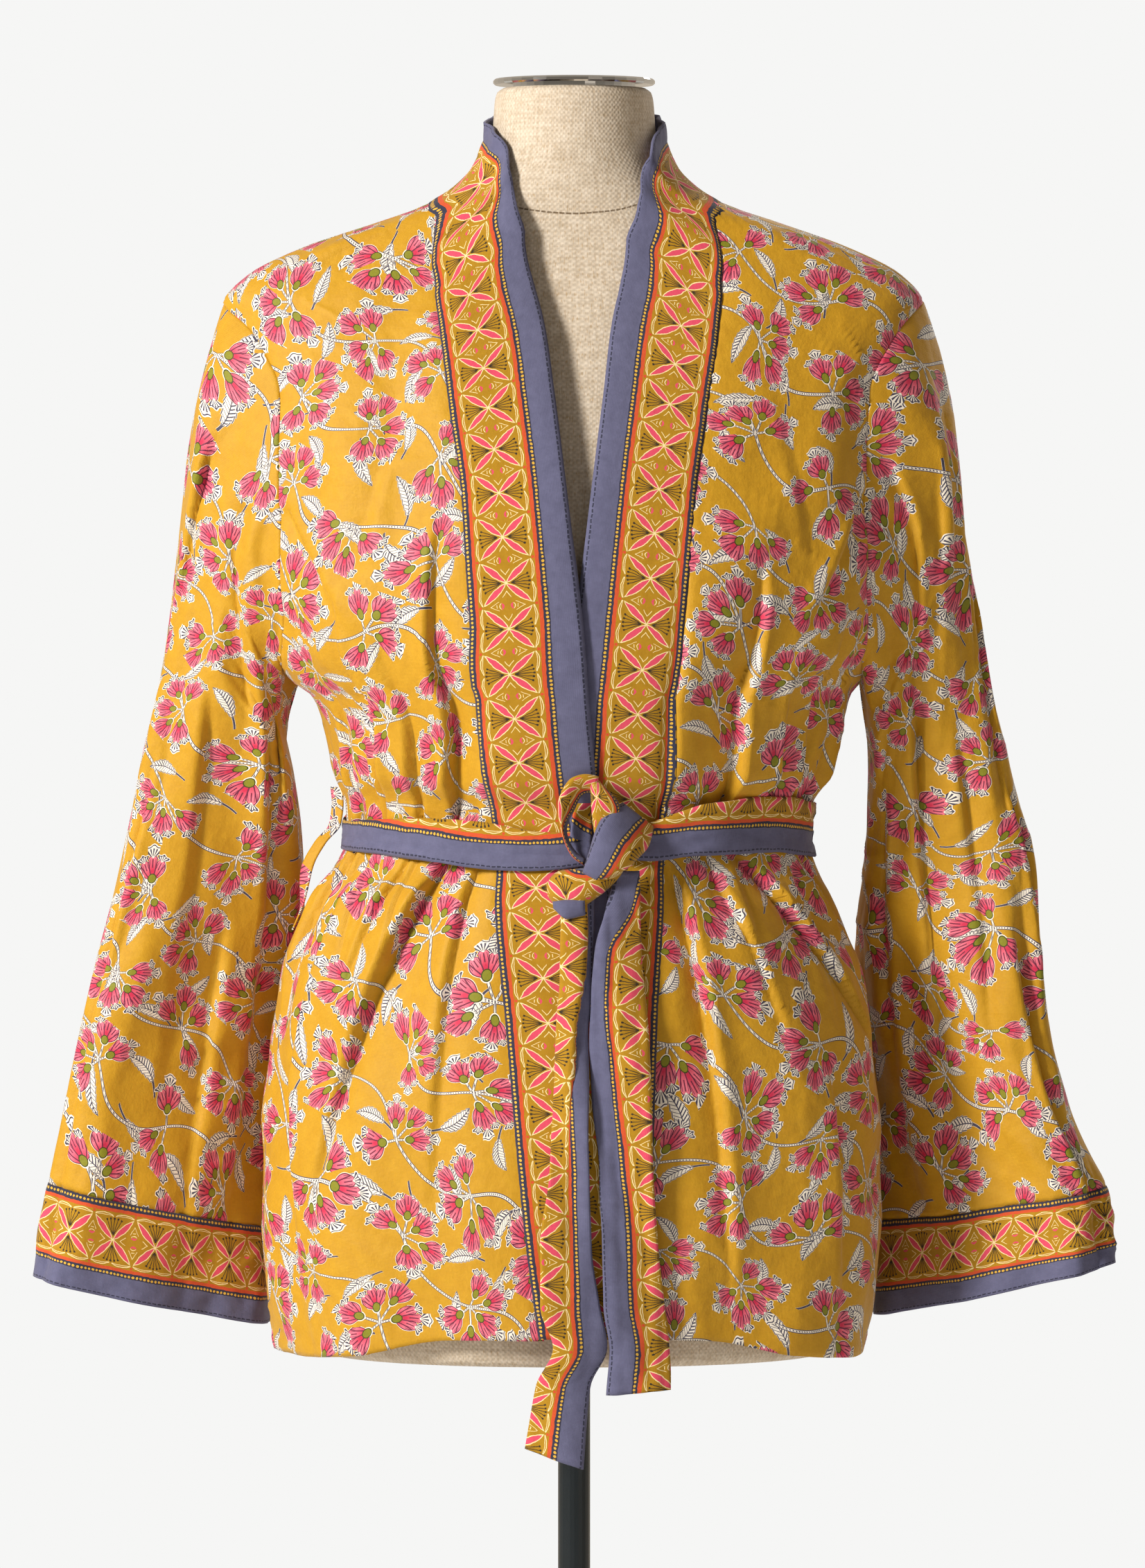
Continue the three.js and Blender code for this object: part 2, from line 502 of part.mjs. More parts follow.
// Where a panel stops sideways at a height, in degrees from its own centre line.
function panelEdge(z) {
  const inArmhole = z > ARMPIT_Z && z < SHOULDER_TIP_Z;
  return inArmhole ? read(ARMHOLE, "z", z, "turn") : 90;
}

// A level's height at a turn: the lowest rows follow the hem's curve.
function withHem(z, turn) {
  const fade = THREE.MathUtils.clamp(1 - (z - HEM_Z) / HEM_FADE, 0, 1);
  return z + read(HEM_CURVE, "turn", Math.abs(turn), "rise") * fade;
}

function seamDegrees(gap, z) {
  return degrees(gap / read(BODY, "z", z, "front"));
}

// The collar's path on one side: turns and heights of its two edges by the length along it.
function collarPath(side) {
  const onFront = (side < 0 ? COLLAR_RIGHT : COLLAR_LEFT).map((row) => ({
    along: row.along,
    outerTurn: turnAt(row.outerX, row.outerZ),
    innerTurn: turnAt(row.innerX, row.innerZ),
    outerZ: row.outerZ,
    innerZ: row.innerZ,
  }));
  const onNeck = COLLAR_NECK.map((row) => ({ ...row, outerTurn: side * row.turn, innerTurn: side * row.turn }));
  return [...onFront, ...onNeck];
}
const COLLAR_PATHS = { [-1]: collarPath(-1), [1]: collarPath(1) };

// A front panel from its collar seam to its side seam and armhole. Side is -1 for the wearer's right.
const FRONT_COLUMNS = 12;
const HEM_SEAM_TURN = 14; // the collar seam's turn at the hem, for the height of the rows there
function frontPanel(side) {
  const grid = PANEL_LEVELS.map((z) => {
    const seamZ = withHem(z, HEM_SEAM_TURN);
    const seam = read(COLLAR_PATHS[side], "outerZ", seamZ, "outerTurn");
    const inner = seam + side * seamDegrees(COLLAR_GAP, z);
    const outer = side * (panelEdge(z) - seamDegrees(SEAM_GAP, z) * 0.5);
    return Array.from({ length: FRONT_COLUMNS + 1 }, (_, j) => {
      const turn = side < 0 ? mix(outer, inner, j / FRONT_COLUMNS) : mix(inner, outer, j / FRONT_COLUMNS);
      return bodyPoint(turn, withHem(z, Math.max(Math.abs(turn), HEM_SEAM_TURN)), side < 0 ? overlapLift(turn) : 0);
    });
  });
  return clothWall(grid, WALL);
}

// The back panel, from the wearer's left side round to the right one, with its raised neck edge.
const BACK_COLUMNS = 23;
function backPanel() {
  const grid = PANEL_LEVELS.map((z) => {
    const edge = 180 - panelEdge(z) + seamDegrees(SEAM_GAP, z) * 0.5;
    return Array.from({ length: BACK_COLUMNS + 1 }, (_, j) => {
      const turn = mix(edge, 360 - edge, j / BACK_COLUMNS);
      const middle = Math.sin((Math.PI * (turn - 90)) / 180) ** 2;
      const rise = BACK_NECK_RISE * smooth(z, SHOULDER_TIP_Z - 60, NECK_POINT_Z) * middle;
      return bodyPoint(turn > 180 ? turn - 360 : turn, withHem(z, 180) + rise);
    });
  });
  return clothWall(grid, WALL);
}

// Half of the collar band: up one front, over the shoulder and round to the centre back. On the front its rows
// are at the front panel's, so that the seam's two edges bend alike.
function collarBand(side) {
  const path = COLLAR_PATHS[side];
  const levels = PANEL_LEVELS.map((z) => withHem(z, HEM_SEAM_TURN)).filter((z) => z < NECK_POINT_Z - 4);
  const alongs = [...levels.map((z) => read(path, "outerZ", z, "along")), ...COLLAR_NECK_ROWS];
  const grid = alongs.map((along) =>
    Array.from({ length: COLLAR_COLUMNS + 1 }, (_, j) => {
      const across = side < 0 ? j / COLLAR_COLUMNS : 1 - j / COLLAR_COLUMNS;
      const turn = mix(read(path, "along", along, "outerTurn"), read(path, "along", along, "innerTurn"), across);
      const z = mix(read(path, "along", along, "outerZ"), read(path, "along", along, "innerZ"), across);
      return bodyPoint(turn, z, side < 0 ? overlapLift(turn) : 0);
    }),
  );
  return clothWall(grid, BAND_WALL);
}

// A point on a sleeve at an angle in degrees round the tube, 0 at the outer edge and 90 at the front.
function sleevePoint(side, angle, v) {
  const table = side < 0 ? SLEEVE_RIGHT : SLEEVE_LEFT;
  const at = (column) => read(table, "v", v, column);
  const out = new THREE.Vector3(at("outX"), at("outY"), at("outZ"));
  const inner = new THREE.Vector3(at("inX"), at("inY"), at("inZ"));
  const centre = out.clone().add(inner).multiplyScalar(0.5);
  const half = out.clone().sub(inner).multiplyScalar(0.5);
  const front = new THREE.Vector3(0, -1, 0);
  const c = Math.cos(radians(angle));
  const s = Math.sin(radians(angle));
  const depth = at("depth");
  const point = centre
    .addScaledVector(half, signedPower(c, 2 / SQUARE))
    .addScaledVector(front, depth * signedPower(s, 2 / SQUARE));
  if (v < ARMHOLE_BLEND) point.lerp(armholePoint(side, angle), 1 - smooth(v, 0, ARMHOLE_BLEND));
  const away = half.multiplyScalar(c / half.lengthSq()).addScaledVector(front, s / depth).normalize();
  return point.addScaledVector(away, sleeveFold(side, angle, v));
}

// The armhole's edge as seen from the sleeve, a little outside the body's panels.
function armholePoint(side, angle) {
  const z = mix(ARMPIT_Z, SHOULDER_TIP_Z, 0.5 + 0.5 * Math.cos(radians(angle)));
  const edge = read(ARMHOLE, "z", z, "turn");
  const turn = side * (Math.sin(radians(angle)) > 0 ? edge : 180 - edge);
  const point = bodyPoint(turn, z);
  point.x += side * SLEEVE_SHIFT;
  return point;
}

// How far the folds move the sleeve's cloth outwards.
function sleeveFold(side, angle, v) {
  const folds = side < 0 ? SLEEVE_FOLDS_RIGHT : SLEEVE_FOLDS_LEFT;
  let out = 0;
  for (const fold of folds) {
    const t = (v - fold.v1) / (fold.v2 - fold.v1);
    if (t <= 0 || t >= 1) continue;
    const off = angle - mix(fold.angle1, fold.angle2, t);
    const turned = THREE.MathUtils.euclideanModulo(off + 180, 360) - 180;
    out += fold.depth * Math.sin(Math.PI * t) * foldProfile((turned * MM_PER_SLEEVE_DEGREE) / fold.width, 1);
  }
  return out;
}

// A stretch of a sleeve's tube between two shares of its length.
function sleeveTube(side, from, to, rows) {
  const grid = gridOf(rows, SLEEVE_SIDES, (i, j) => sleevePoint(side, side * -360 * j, mix(to, from, i)), true);
  return clothWall(grid, WALL, true);
}

// A stretch of the belt round the waist between two turns.
function beltStretch(from, to) {
  const columns = Math.ceil(Math.abs(to - from) / BELT_STEP);
  const grid = gridOf(2, columns, (i, j) => {
    const turn = mix(from, to, j);
    const key = turn > 180 ? turn - 360 : turn;
    const z = read(BELT, "turn", key, "z") + (i - 0.5) * read(BELT, "turn", key, "wide");
    const front = smooth(Math.cos(radians(key)), 0.6, 0.9) * (OVERLAP_LIFT + BAND_WALL - WALL);
    const point = bodyPoint(key, z, BELT_CLEARANCE + front - bodyFold(key, z));
    return point;
  });
  return clothWall(grid, BELT_WALL);
}

// A hanging end of the belt in front of the bands.
function beltTail(table, slant) {
  const top = table[0].z;
  const bottom = table.at(-1).z;
  const falling = table.toReversed();
  const grid = gridOf(TAIL_ROWS, TAIL_COLUMNS, (i, j) => {
    const level = mix(bottom, top, i);
    const x = mix(read(falling, "z", level, "x1"), read(falling, "z", level, "x2"), j);
    const z = level - slant * (j - 0.5) * (1 - smooth(level, bottom, bottom + 60));
    const surface = Math.max(level, HEM_Z + 20);
    const curl = TAIL_CURL * smooth(top - level, 4, 40) * Math.sin(Math.PI * j + level / 37);
    const off = read(falling, "z", level, "off") + curl;
    return new THREE.Vector3(x, bodyPoint(turnAt(x, surface), surface).y - off, z);
  });
  return clothWall(grid, BELT_WALL);
}

// A rolled stretch of cloth along a path, an oval section whose flat side faces the front.
function rolledCloth(table, sides = KNOT_SIDES) {
  const path = new THREE.CatmullRomCurve3(table.map((row) => new THREE.Vector3(row.x, row.y, row.z)));
  const keyed = table.map((row, i) => ({ ...row, share: i / (table.length - 1) }));
  const facing = new THREE.Vector3(0, -1, 0);
  const rings = Array.from({ length: KNOT_STEPS + 1 }, (_, i) => {
    const share = i / KNOT_STEPS;
    const middle = path.getPoint(share);
    const tangent = path.getTangent(share);
    const across = tangent.clone().cross(facing).normalize();
    const away = tangent.clone().cross(across).normalize();
    return Array.from({ length: sides }, (_, j) => {
      const turn = (2 * Math.PI * j) / sides;
      return middle
        .clone()
        .addScaledVector(across, 0.5 * read(keyed, "share", share, "wide") * Math.cos(turn))
        .addScaledVector(away, 0.5 * read(keyed, "share", share, "thick") * Math.sin(turn));
    });
  });
  return cappedTube(rings);
}

// A solid through rings of points, closed by a fan at each end.
function cappedTube(rings) {
  const sides = rings[0].length;
  const points = rings.flat();
  const faces = [];
  for (let i = 0; i < rings.length - 1; i++)
    for (let j = 0; j < sides; j++) {
      const next = (j + 1) % sides;
      faces.push(i * sides + j, i * sides + next, (i + 1) * sides + next);
      faces.push(i * sides + j, (i + 1) * sides + next, (i + 1) * sides + j);
    }
  for (const end of [0, rings.length - 1]) {
    const middle = points.length;
    points.push(rings[end].reduce((sum, p) => sum.add(p), new THREE.Vector3()).divideScalar(sides));
    for (let j = 0; j < sides; j++) {
      const [a, b] = [end * sides + j, end * sides + ((j + 1) % sides)];
      if (end === 0) faces.push(middle, b, a);
      else faces.push(middle, a, b);
    }
  }
  const geometry = new THREE.BufferGeometry();
  geometry.setAttribute("position", new THREE.Float32BufferAttribute(points.flatMap((p) => [p.x, p.y, p.z]), 3));
  geometry.setIndex(faces);
  geometry.computeVertexNormals();
  return geometry;
}

// The belt carrier: a thin strip along a bowed path, its width running from front to back.
function beltCarrier(table) {
  const path = new THREE.CatmullRomCurve3(table.map((row) => new THREE.Vector3(row.x, row.y, row.z)));
  const grid = gridOf(1, CARRIER.steps, (i, j) => {
    const point = path.getPoint(1 - j);
    point.y += (0.5 - i) * CARRIER.wide;
    return point;
  });
  return clothWall(grid, CARRIER.thick);
}

// The padded torso of the dress form.
function dressForm() {
  const rings = FORM.map((row) =>
    Array.from({ length: FORM_SIDES }, (_, j) => {
      const turn = (2 * Math.PI * j) / FORM_SIDES;
      const s = Math.sin(turn);
      const c = Math.cos(turn);
      const power = row.z > 1425 ? 1 : 2 / SQUARE;
      return new THREE.Vector3(
        row.wide * signedPower(s, power),
        -(c > 0 ? row.front : row.back) * signedPower(c, power),
        row.z,
      );
    }),
  );
  return cappedTube(rings);
}

// The polished cap: a rounded disc on a narrower hub that stands on the neck.
function neckCap() {
  const bottom = NECK_TOP_Z + SEAM_GAP;
  const disc = bottom + CAP.hubHeight;
  const profile = [
    [0, bottom],
    [CAP.hubR, bottom],
    [CAP.hubR, disc],
    [CAP.r - 1, disc],
    [CAP.r, disc + 1],
    [CAP.r, disc + CAP.thick - 1],
    [CAP.r - 1, disc + CAP.thick],
    [0, disc + CAP.thick],
  ];
  return new THREE.LatheGeometry(
    profile.map(([r, z]) => new THREE.Vector2(r, z)),
    36,
  ).rotateX(Math.PI / 2);
}

function pole() {
  const bottom = BASE.thick + SEAM_GAP;
  const top = FORM_Z - SEAM_GAP;
  return new THREE.CylinderGeometry(POLE_R, POLE_R, top - bottom, 24)
    .rotateX(Math.PI / 2)
    .translate(0, 0, (top + bottom) / 2);
}

function baseDisc() {
  const profile = [
    [0, 0],
    [BASE.r, 0],
    [BASE.r, BASE.thick - 2],
    [BASE.r - 2, BASE.thick],
    [0, BASE.thick],
  ];
  return new THREE.LatheGeometry(
    profile.map(([r, z]) => new THREE.Vector2(r, z)),
    36,
  ).rotateX(Math.PI / 2);
}

const printedCotton = new THREE.MeshStandardMaterial({ color: "#c9931f", roughness: 0.85, side: THREE.DoubleSide });
const borderCotton = new THREE.MeshStandardMaterial({ color: "#b3743a", roughness: 0.85, side: THREE.DoubleSide });
const slateCotton = new THREE.MeshStandardMaterial({ color: "#5b5c7a", roughness: 0.85 });
const linen = new THREE.MeshStandardMaterial({ color: "#c9b697", roughness: 0.9 });
const chrome = new THREE.MeshStandardMaterial({ color: "#c9ccd0", roughness: 0.12, metalness: 1 });
const blackSteel = new THREE.MeshStandardMaterial({ color: "#1f2a2e", roughness: 0.45, metalness: 0.2 });

const part = new THREE.Group();

function add(name, geometry, material) {
  const mesh = new THREE.Mesh(geometry, material);
  mesh.name = name;
  part.add(mesh);
}

add("base_disc", baseDisc(), blackSteel);
add("pole", pole(), blackSteel);
add("form_torso", dressForm(), linen);
add("neck_cap", neckCap(), chrome);
add("back_panel", backPanel(), printedCotton);
for (const [hand, side] of [["right", -1], ["left", 1]]) {
  add(`front_${hand}`, frontPanel(side), printedCotton);
  add(`collar_band_${hand}`, collarBand(side), borderCotton);
  add(`sleeve_${hand}`, sleeveTube(side, 0, 1 - CUFF_SEAM, 18), printedCotton);
  add(`cuff_${hand}`, sleeveTube(side, 1, CUFF_V, 3), borderCotton);
}
add("belt_right", beltStretch(-SIDE_TURN, -3), borderCotton);
add("belt_left", beltStretch(9, SIDE_TURN), borderCotton);
add("belt_back", beltStretch(SIDE_TURN + 0.3, 360 - SIDE_TURN - 0.3), borderCotton);
add("belt_tail_right", beltTail(TAIL_RIGHT, TAIL_SLANT.right), borderCotton);
add("belt_tail_left", beltTail(TAIL_LEFT, TAIL_SLANT.left), borderCotton);
add("knot_loop", rolledCloth(KNOT_LOOP), borderCotton);
add("knot_over", rolledCloth(KNOT_OVER), slateCotton);
add("knot_bar", rolledCloth(KNOT_BAR), borderCotton);
add("belt_carrier", beltCarrier(CARRIER_RIGHT), printedCotton);

export default part;
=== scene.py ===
"""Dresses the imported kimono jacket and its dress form: block-printed cotton, border strips, linen, chrome and
lacquered steel. The cloth pieces are thin shells over the same worn surface as their CAD solids, with finer folds.
Shapes are in millimetres until a mesh is made. The front faces -Y. Right and left are the wearer's."""
import math
from functools import reduce

import bmesh
import bpy
import numpy as np
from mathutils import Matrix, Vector


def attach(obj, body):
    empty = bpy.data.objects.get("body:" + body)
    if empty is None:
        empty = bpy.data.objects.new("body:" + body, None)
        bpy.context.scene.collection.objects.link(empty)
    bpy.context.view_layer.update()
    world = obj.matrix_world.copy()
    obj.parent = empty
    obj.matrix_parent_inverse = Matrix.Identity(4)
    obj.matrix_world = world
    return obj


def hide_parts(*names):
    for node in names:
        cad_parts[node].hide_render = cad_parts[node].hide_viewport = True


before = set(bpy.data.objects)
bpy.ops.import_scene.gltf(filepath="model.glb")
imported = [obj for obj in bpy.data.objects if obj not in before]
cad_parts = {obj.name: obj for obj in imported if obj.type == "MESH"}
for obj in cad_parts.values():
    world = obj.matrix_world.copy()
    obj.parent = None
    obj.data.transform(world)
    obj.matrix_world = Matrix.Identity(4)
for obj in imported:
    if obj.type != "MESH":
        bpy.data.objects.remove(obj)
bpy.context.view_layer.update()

MM = 0.001
PI = math.pi

# Driving dimensions
CLOTH = 1.0  # body and sleeve cloth with its hems, as it shows at an edge
BAND = 1.7  # the collar and cuffs, folded double
BELT_CLOTH = 1.8
SQUARE = 2.2  # how square the body's plan sections are, 2 being an ellipse
HEM_Z = 712
HEM_FADE = 120  # the height over which the hem's curve fades out
FLARE_Z = 960  # below it the skirt swings out in seven soft waves
HEM_FLAT_TURN = 14  # nearer to the front's middle than this, the hem keeps its height
BELT_Z = 1032
PINCH_Z = 1036  # where the large folds meet at the belt, which flattens them
ARMPIT_Z = 1128
TIP_Z = 1362  # the shoulder's tip, at the armhole's top
SHOULDER_BLEND = 22
NECK_POINT_Z = 1421
BACK_NECK_RISE = 16
OVERLAP_LIFT = 4.2  # how far the upper front lies off the lower one
OVERLAP_TURNS = (-30, -16)
FRONT_WIDE, BACK_WIDE = 150, 480  # the panels as worn
SLEEVE_LONG = 590
SHOULDER_FORWARD = 7  # degrees by which the shoulder seam lies in front of the ridge
STRIP_WIDE = 64  # the border strip from its outer dots to its slate edge
CUFF_V = 1.12  # a cuff's end, the sleeve's own end being 1
SIDES = ((-1, "right"), (1, "left"))


def columns(names, rows):
    """A short table as one array for each named column."""
    return dict(zip(names.split(), np.array(rows, float).T))


BODY = columns("z right left front back", [
    (690, 173, 176, 114, 121), (740, 187, 188, 117, 125), (790, 192, 192, 119, 128), (850, 191, 191, 119, 128),
    (900, 187, 186, 117, 125), (945, 180, 178, 113, 120), (970, 172, 169, 110, 115), (995, 161, 158, 106, 108),
    (1014, 147, 149, 101, 101), (1032, 140, 144, 99, 98), (1052, 141, 147, 101, 101), (1070, 147, 158, 112, 109),
    (1100, 152, 165, 120, 112), (1120, 161, 169, 125, 112), (1128, 172, 175, 126, 112), (1150, 189, 189, 129, 112),
    (1184, 199, 199, 129, 112), (1249, 205, 206, 118, 112), (1300, 208, 208, 100, 106), (1340, 212, 212, 80, 94),
    (1362, 215, 214, 66, 84), (1378, 202, 201, 57, 77), (1395, 168, 169, 52, 72), (1412, 117, 122, 51, 70),
    (1421, 92, 95, 51, 70), (1432, 73, 75, 51, 67), (1445, 61, 62, 52, 62), (1465, 54, 55, 52.5, 57),
    (1500, 52.5, 52.5, 52.5, 54),
])
HEM_CURVE = columns("turn rise", [(0, 20), (22, 18), (45, 6), (70, 1), (180, 0)])
ARMHOLE = columns("z turn", [
    (1128, 90), (1142, 74), (1184, 64), (1249, 60), (1309, 59), (1339, 66), (1354, 77), (1362, 90),
])
# The large folds, troughs with a ridge on the side that lean gives
FOLDS = columns("turn1 z1 turn2 z2 depth width lean", [
    (-31, 1036, -54, 815, 17, 7, -1), (-58, 1036, -66, 870, 9, 6, 1), (-43, 1036, -50, 930, 8, 5, -1),
    (-22, 1036, -25, 800, 7, 7, -1), (-75, 1036, -80, 900, 8, 7, -1), (-66, 900, -60, 700, 7, 15, 1),
    (22, 1036, 29, 740, 13, 7, 1), (40, 1036, 78, 905, 17, 6, 1), (31, 1036, 44, 900, 7, 5, 1),
    (66, 1036, 80, 960, 8, 6, -1), (55, 900, 57, 700, 7, 14, -1), (-31, 1028, -21, 1240, 16, 6, -1),
    (-42, 1028, -37, 1160, 8, 5, -1), (-54, 1028, -44, 1190, 10, 7, 1), (-74, 1028, -66, 1150, 8, 7, -1),
    (20, 1028, 17, 1225, 13, 6, 1), (38, 1028, 33, 1205, 16, 6, 1), (50, 1028, 46, 1150, 8, 5, -1),
    (62, 1030, 55, 1180, 9, 7, -1), (78, 1028, 68, 1160, 9, 7, 1), (-24, 1330, -40, 1180, 5, 12, 1),
    (30, 1340, 44, 1190, 5, 12, -1), (-58, 1240, -40, 1150, 6, 10, 1), (58, 1250, 44, 1160, 7, 10, -1),
    (-150, 1036, -140, 800, 14, 9, 1), (-112, 1036, -105, 850, 11, 8, -1), (-128, 1036, -126, 900, 8, 6, 1),
    (178, 1036, 174, 780, 13, 10, -1), (-166, 1036, -160, 880, 8, 7, -1), (142, 1036, 132, 810, 14, 9, 1),
    (160, 1036, 156, 900, 8, 7, 1), (110, 1036, 104, 860, 11, 8, 1), (-155, 1028, -163, 1230, 13, 8, -1),
    (-120, 1028, -135, 1190, 11, 8, 1), (-138, 1028, -146, 1160, 8, 6, -1), (170, 1028, 172, 1245, 12, 9, 1),
    (135, 1028, 146, 1210, 12, 8, -1), (152, 1028, 158, 1150, 8, 6, 1), (-140, 1330, -120, 1180, 6, 14, 1),
    (140, 1330, 122, 1180, 6, 14, -1),
])
MM_PER_DEGREE = 2.6
PLEATS = 58  # small gathers that run up and down from the belt

COLLAR_RIGHT = columns("along outer_x outer_z inner_x inner_z", [
    (0, -21, 732, 47, 732), (60, -29, 792, 41, 792), (190, -41, 925, 29, 925), (280, -46, 1012, 20, 1014),
    (310, -48, 1040, 15, 1044), (370, -57, 1098, 10, 1103), (440, -62, 1170, 4, 1177), (510, -67, 1242, -5, 1250),
    (560, -74, 1292, -12, 1305), (600, -79, 1330, -20, 1355), (640, -84, 1366, -30, 1402),
    (670, -86, 1394, -38, 1435), (700, -84, 1412, -45, 1462),
])
COLLAR_LEFT = columns("along outer_x outer_z inner_x inner_z", [
    (0, 44, 732, -24, 732), (60, 46, 792, -23, 792), (190, 50, 925, -18, 925), (280, 54, 1012, -12, 1014),
    (310, 56, 1040, -10, 1044), (370, 61, 1098, -6, 1103), (440, 67, 1170, 2, 1177), (510, 73, 1240, 11, 1250),
    (560, 80, 1290, 18, 1305), (600, 86, 1328, 24, 1352), (640, 90, 1366, 32, 1398), (670, 89, 1394, 41, 1433),
    (700, 87, 1412, 49, 1462),
])
COLLAR_NECK = columns("along turn outer_z inner_z", [
    (722, 90, 1424, 1474), (755, 122, 1433, 1480), (790, 152, 1438, 1484), (815, 180, 1440, 1485),
])

SLEEVE_COLUMNS = "v out_x out_y out_z in_x in_y in_z depth"
SLEEVE_RIGHT = columns(SLEEVE_COLUMNS, [
    (0, -219, 4, 1362, -178, 4, 1127, 58), (0.1, -230, 2, 1318, -181, 8, 1098, 54),
    (0.2, -238, 0, 1268, -175, 14, 1066, 50), (0.32, -244, 0, 1208, -171, 24, 1034, 46),
    (0.44, -254, 0, 1145, -170, 40, 1000, 43), (0.56, -267, 0, 1078, -170, 60, 962, 41),
    (0.68, -283, 0, 1008, -175, 72, 920, 39), (0.8, -300, 0, 938, -180, 76, 873, 37),
    (0.92, -315, 0, 866, -186, 72, 820, 36), (1, -324, -2, 815, -190, 66, 782, 36),
    (1.12, -333, -6, 757, -190, 58, 722, 37),
])
SLEEVE_LEFT = columns(SLEEVE_COLUMNS, [
    (0, 218, 4, 1362, 179, 4, 1127, 58), (0.1, 227, 2, 1318, 182, 8, 1098, 54),
    (0.2, 237, 0, 1268, 184, 14, 1068, 50), (0.32, 244, 0, 1208, 184, 24, 1038, 46),
    (0.44, 253, 0, 1145, 182, 40, 1005, 43), (0.56, 268, 0, 1078, 178, 58, 968, 41),
    (0.68, 284, 0, 1008, 177, 72, 925, 39), (0.8, 291, 0, 938, 181, 76, 878, 37),
    (0.92, 306, -2, 864, 186, 72, 826, 36), (1, 327, -6, 813, 190, 66, 786, 36),
    (1.12, 332, -8, 766, 190, 58, 728, 38),
])
FOLD_COLUMNS = "angle1 v1 angle2 v2 depth width lean"
SLEEVE_FOLDS_RIGHT = columns(FOLD_COLUMNS, [
    (52, 0.1, 12, 0.46, 9, 10, -1), (116, 0.2, 125, 1.08, 9, 10, -1), (68, 0.34, 84, 0.98, 6, 15, -1),
    (34, 0.5, 22, 1.12, 5, 13, 1), (99, 0.6, 104, 1.15, 6, 9, 1), (86, 0.05, 100, 0.3, 6, 9, 1),
    (142, 0.12, 132, 0.42, 7, 8, 1), (-60, 0.1, -85, 0.8, 8, 12, 1), (-118, 0.2, -120, 1.0, 7, 12, -1),
    (-34, 0.3, -45, 1.05, 6, 11, -1), (-98, 0.5, -92, 1.15, 6, 9, 1),
])
SLEEVE_FOLDS_LEFT = columns(FOLD_COLUMNS, [
    (100, 0.18, 97, 1.12, 9, 8, 1), (32, 0.1, 50, 0.3, 8, 8, 1), (14, 0.16, 34, 0.44, 8, 8, 1),
    (10, 0.34, 28, 0.62, 8, 8, -1), (24, 0.56, 8, 0.84, 7, 8, 1), (46, 0.7, 26, 1.12, 7, 9, 1),
    (130, 0.3, 120, 1.05, 7, 10, -1), (76, 0.05, 90, 0.27, 6, 8, -1), (66, 0.42, 74, 0.98, 5, 14, 1),
    (-70, 0.1, -95, 0.85, 8, 12, 1), (-125, 0.2, -118, 1.0, 7, 12, -1), (-40, 0.35, -34, 1.05, 6, 11, 1),
])
ARMHOLE_BLEND = 0.14  # the share of a sleeve's length over which it takes its own shape
MM_PER_SLEEVE_DEGREE = 1.3

BELT = columns("turn z wide", [
    (-180, 1034, 34), (-120, 1033, 30), (-84, 1033, 17), (-60, 1034, 19), (-40, 1034, 24), (-22, 1031, 28),
    (-4, 1027, 22), (9, 1030, 15), (16, 1033, 22), (30, 1040, 31), (50, 1042, 34), (84, 1036, 33), (120, 1034, 34),
    (180, 1034, 34),
])
BELT_CLEARANCE = 2.1  # off the body's surface

# The belt's hanging ends: both edges' x, the distance off the body's front, both edges' places on the border strip,
# and the lengthways fold: its share across the width and the strip's places before and behind it
TAIL_COLUMNS = "z x1 x2 off v1 v2 fold vf vb"
TAIL_RIGHT = columns(TAIL_COLUMNS, [
    (660, -29, 5, 12, 30, 64, 0.5, 47, 47), (704, -22, 9, 10, 30, 64, 0.5, 47, 47),
    (728, -12, 19, 14, 32, 62, 0.5, 47, 47), (754, -20, 15, 15, 26, 60, 0.5, 43, 43),
    (786, -20, 10, 13, 26, 56, 0.5, 41, 41), (830, -15, 9, 12, 31, 55, 0.42, 41, 42),
    (872, -12, 8, 12, 33, 57, 0.42, 41, 44), (915, -10, 8, 12.5, 29, 60, 0.52, 40, 52),
    (958, -8, 10, 13.5, 24, 63, 0.7, 38, 57), (985, -7, 11, 15, 24, 64, 0.7, 38, 58),
    (1003, -6, 11, 14.9, 24, 64, 0.7, 38, 58),
])
TAIL_LEFT = columns(TAIL_COLUMNS, [
    (700, 20, 58, 9, 64, 26, 0.46, 46, 46), (728, 22, 57, 10, 64, 29, 0.46, 46.5, 46.5),
    (754, 18, 54, 12, 64, 28, 0.46, 46, 46), (790, 17, 50, 11, 63, 31, 0.46, 47.5, 47.5),
    (838, 15, 47, 10, 62, 30, 0.42, 48, 48), (880, 11, 46, 10, 61, 26, 0.38, 47.5, 47.5),
    (922, 10, 44, 10, 57, 23, 0.27, 48.5, 47.5), (965, 13, 40, 11, 55, 28, 0.22, 49, 48),
    (1000, 22, 39, 14, 63, 44, 0.6, 56, 54), (1016, 27, 38, 17, 62, 49, 0.6, 57, 56),
])
FOLD_STEP = 3.2  # how far the cloth beyond a tail's lengthways fold lies behind it
TAIL_CURL = 3  # how far a tail curls towards and away from the body

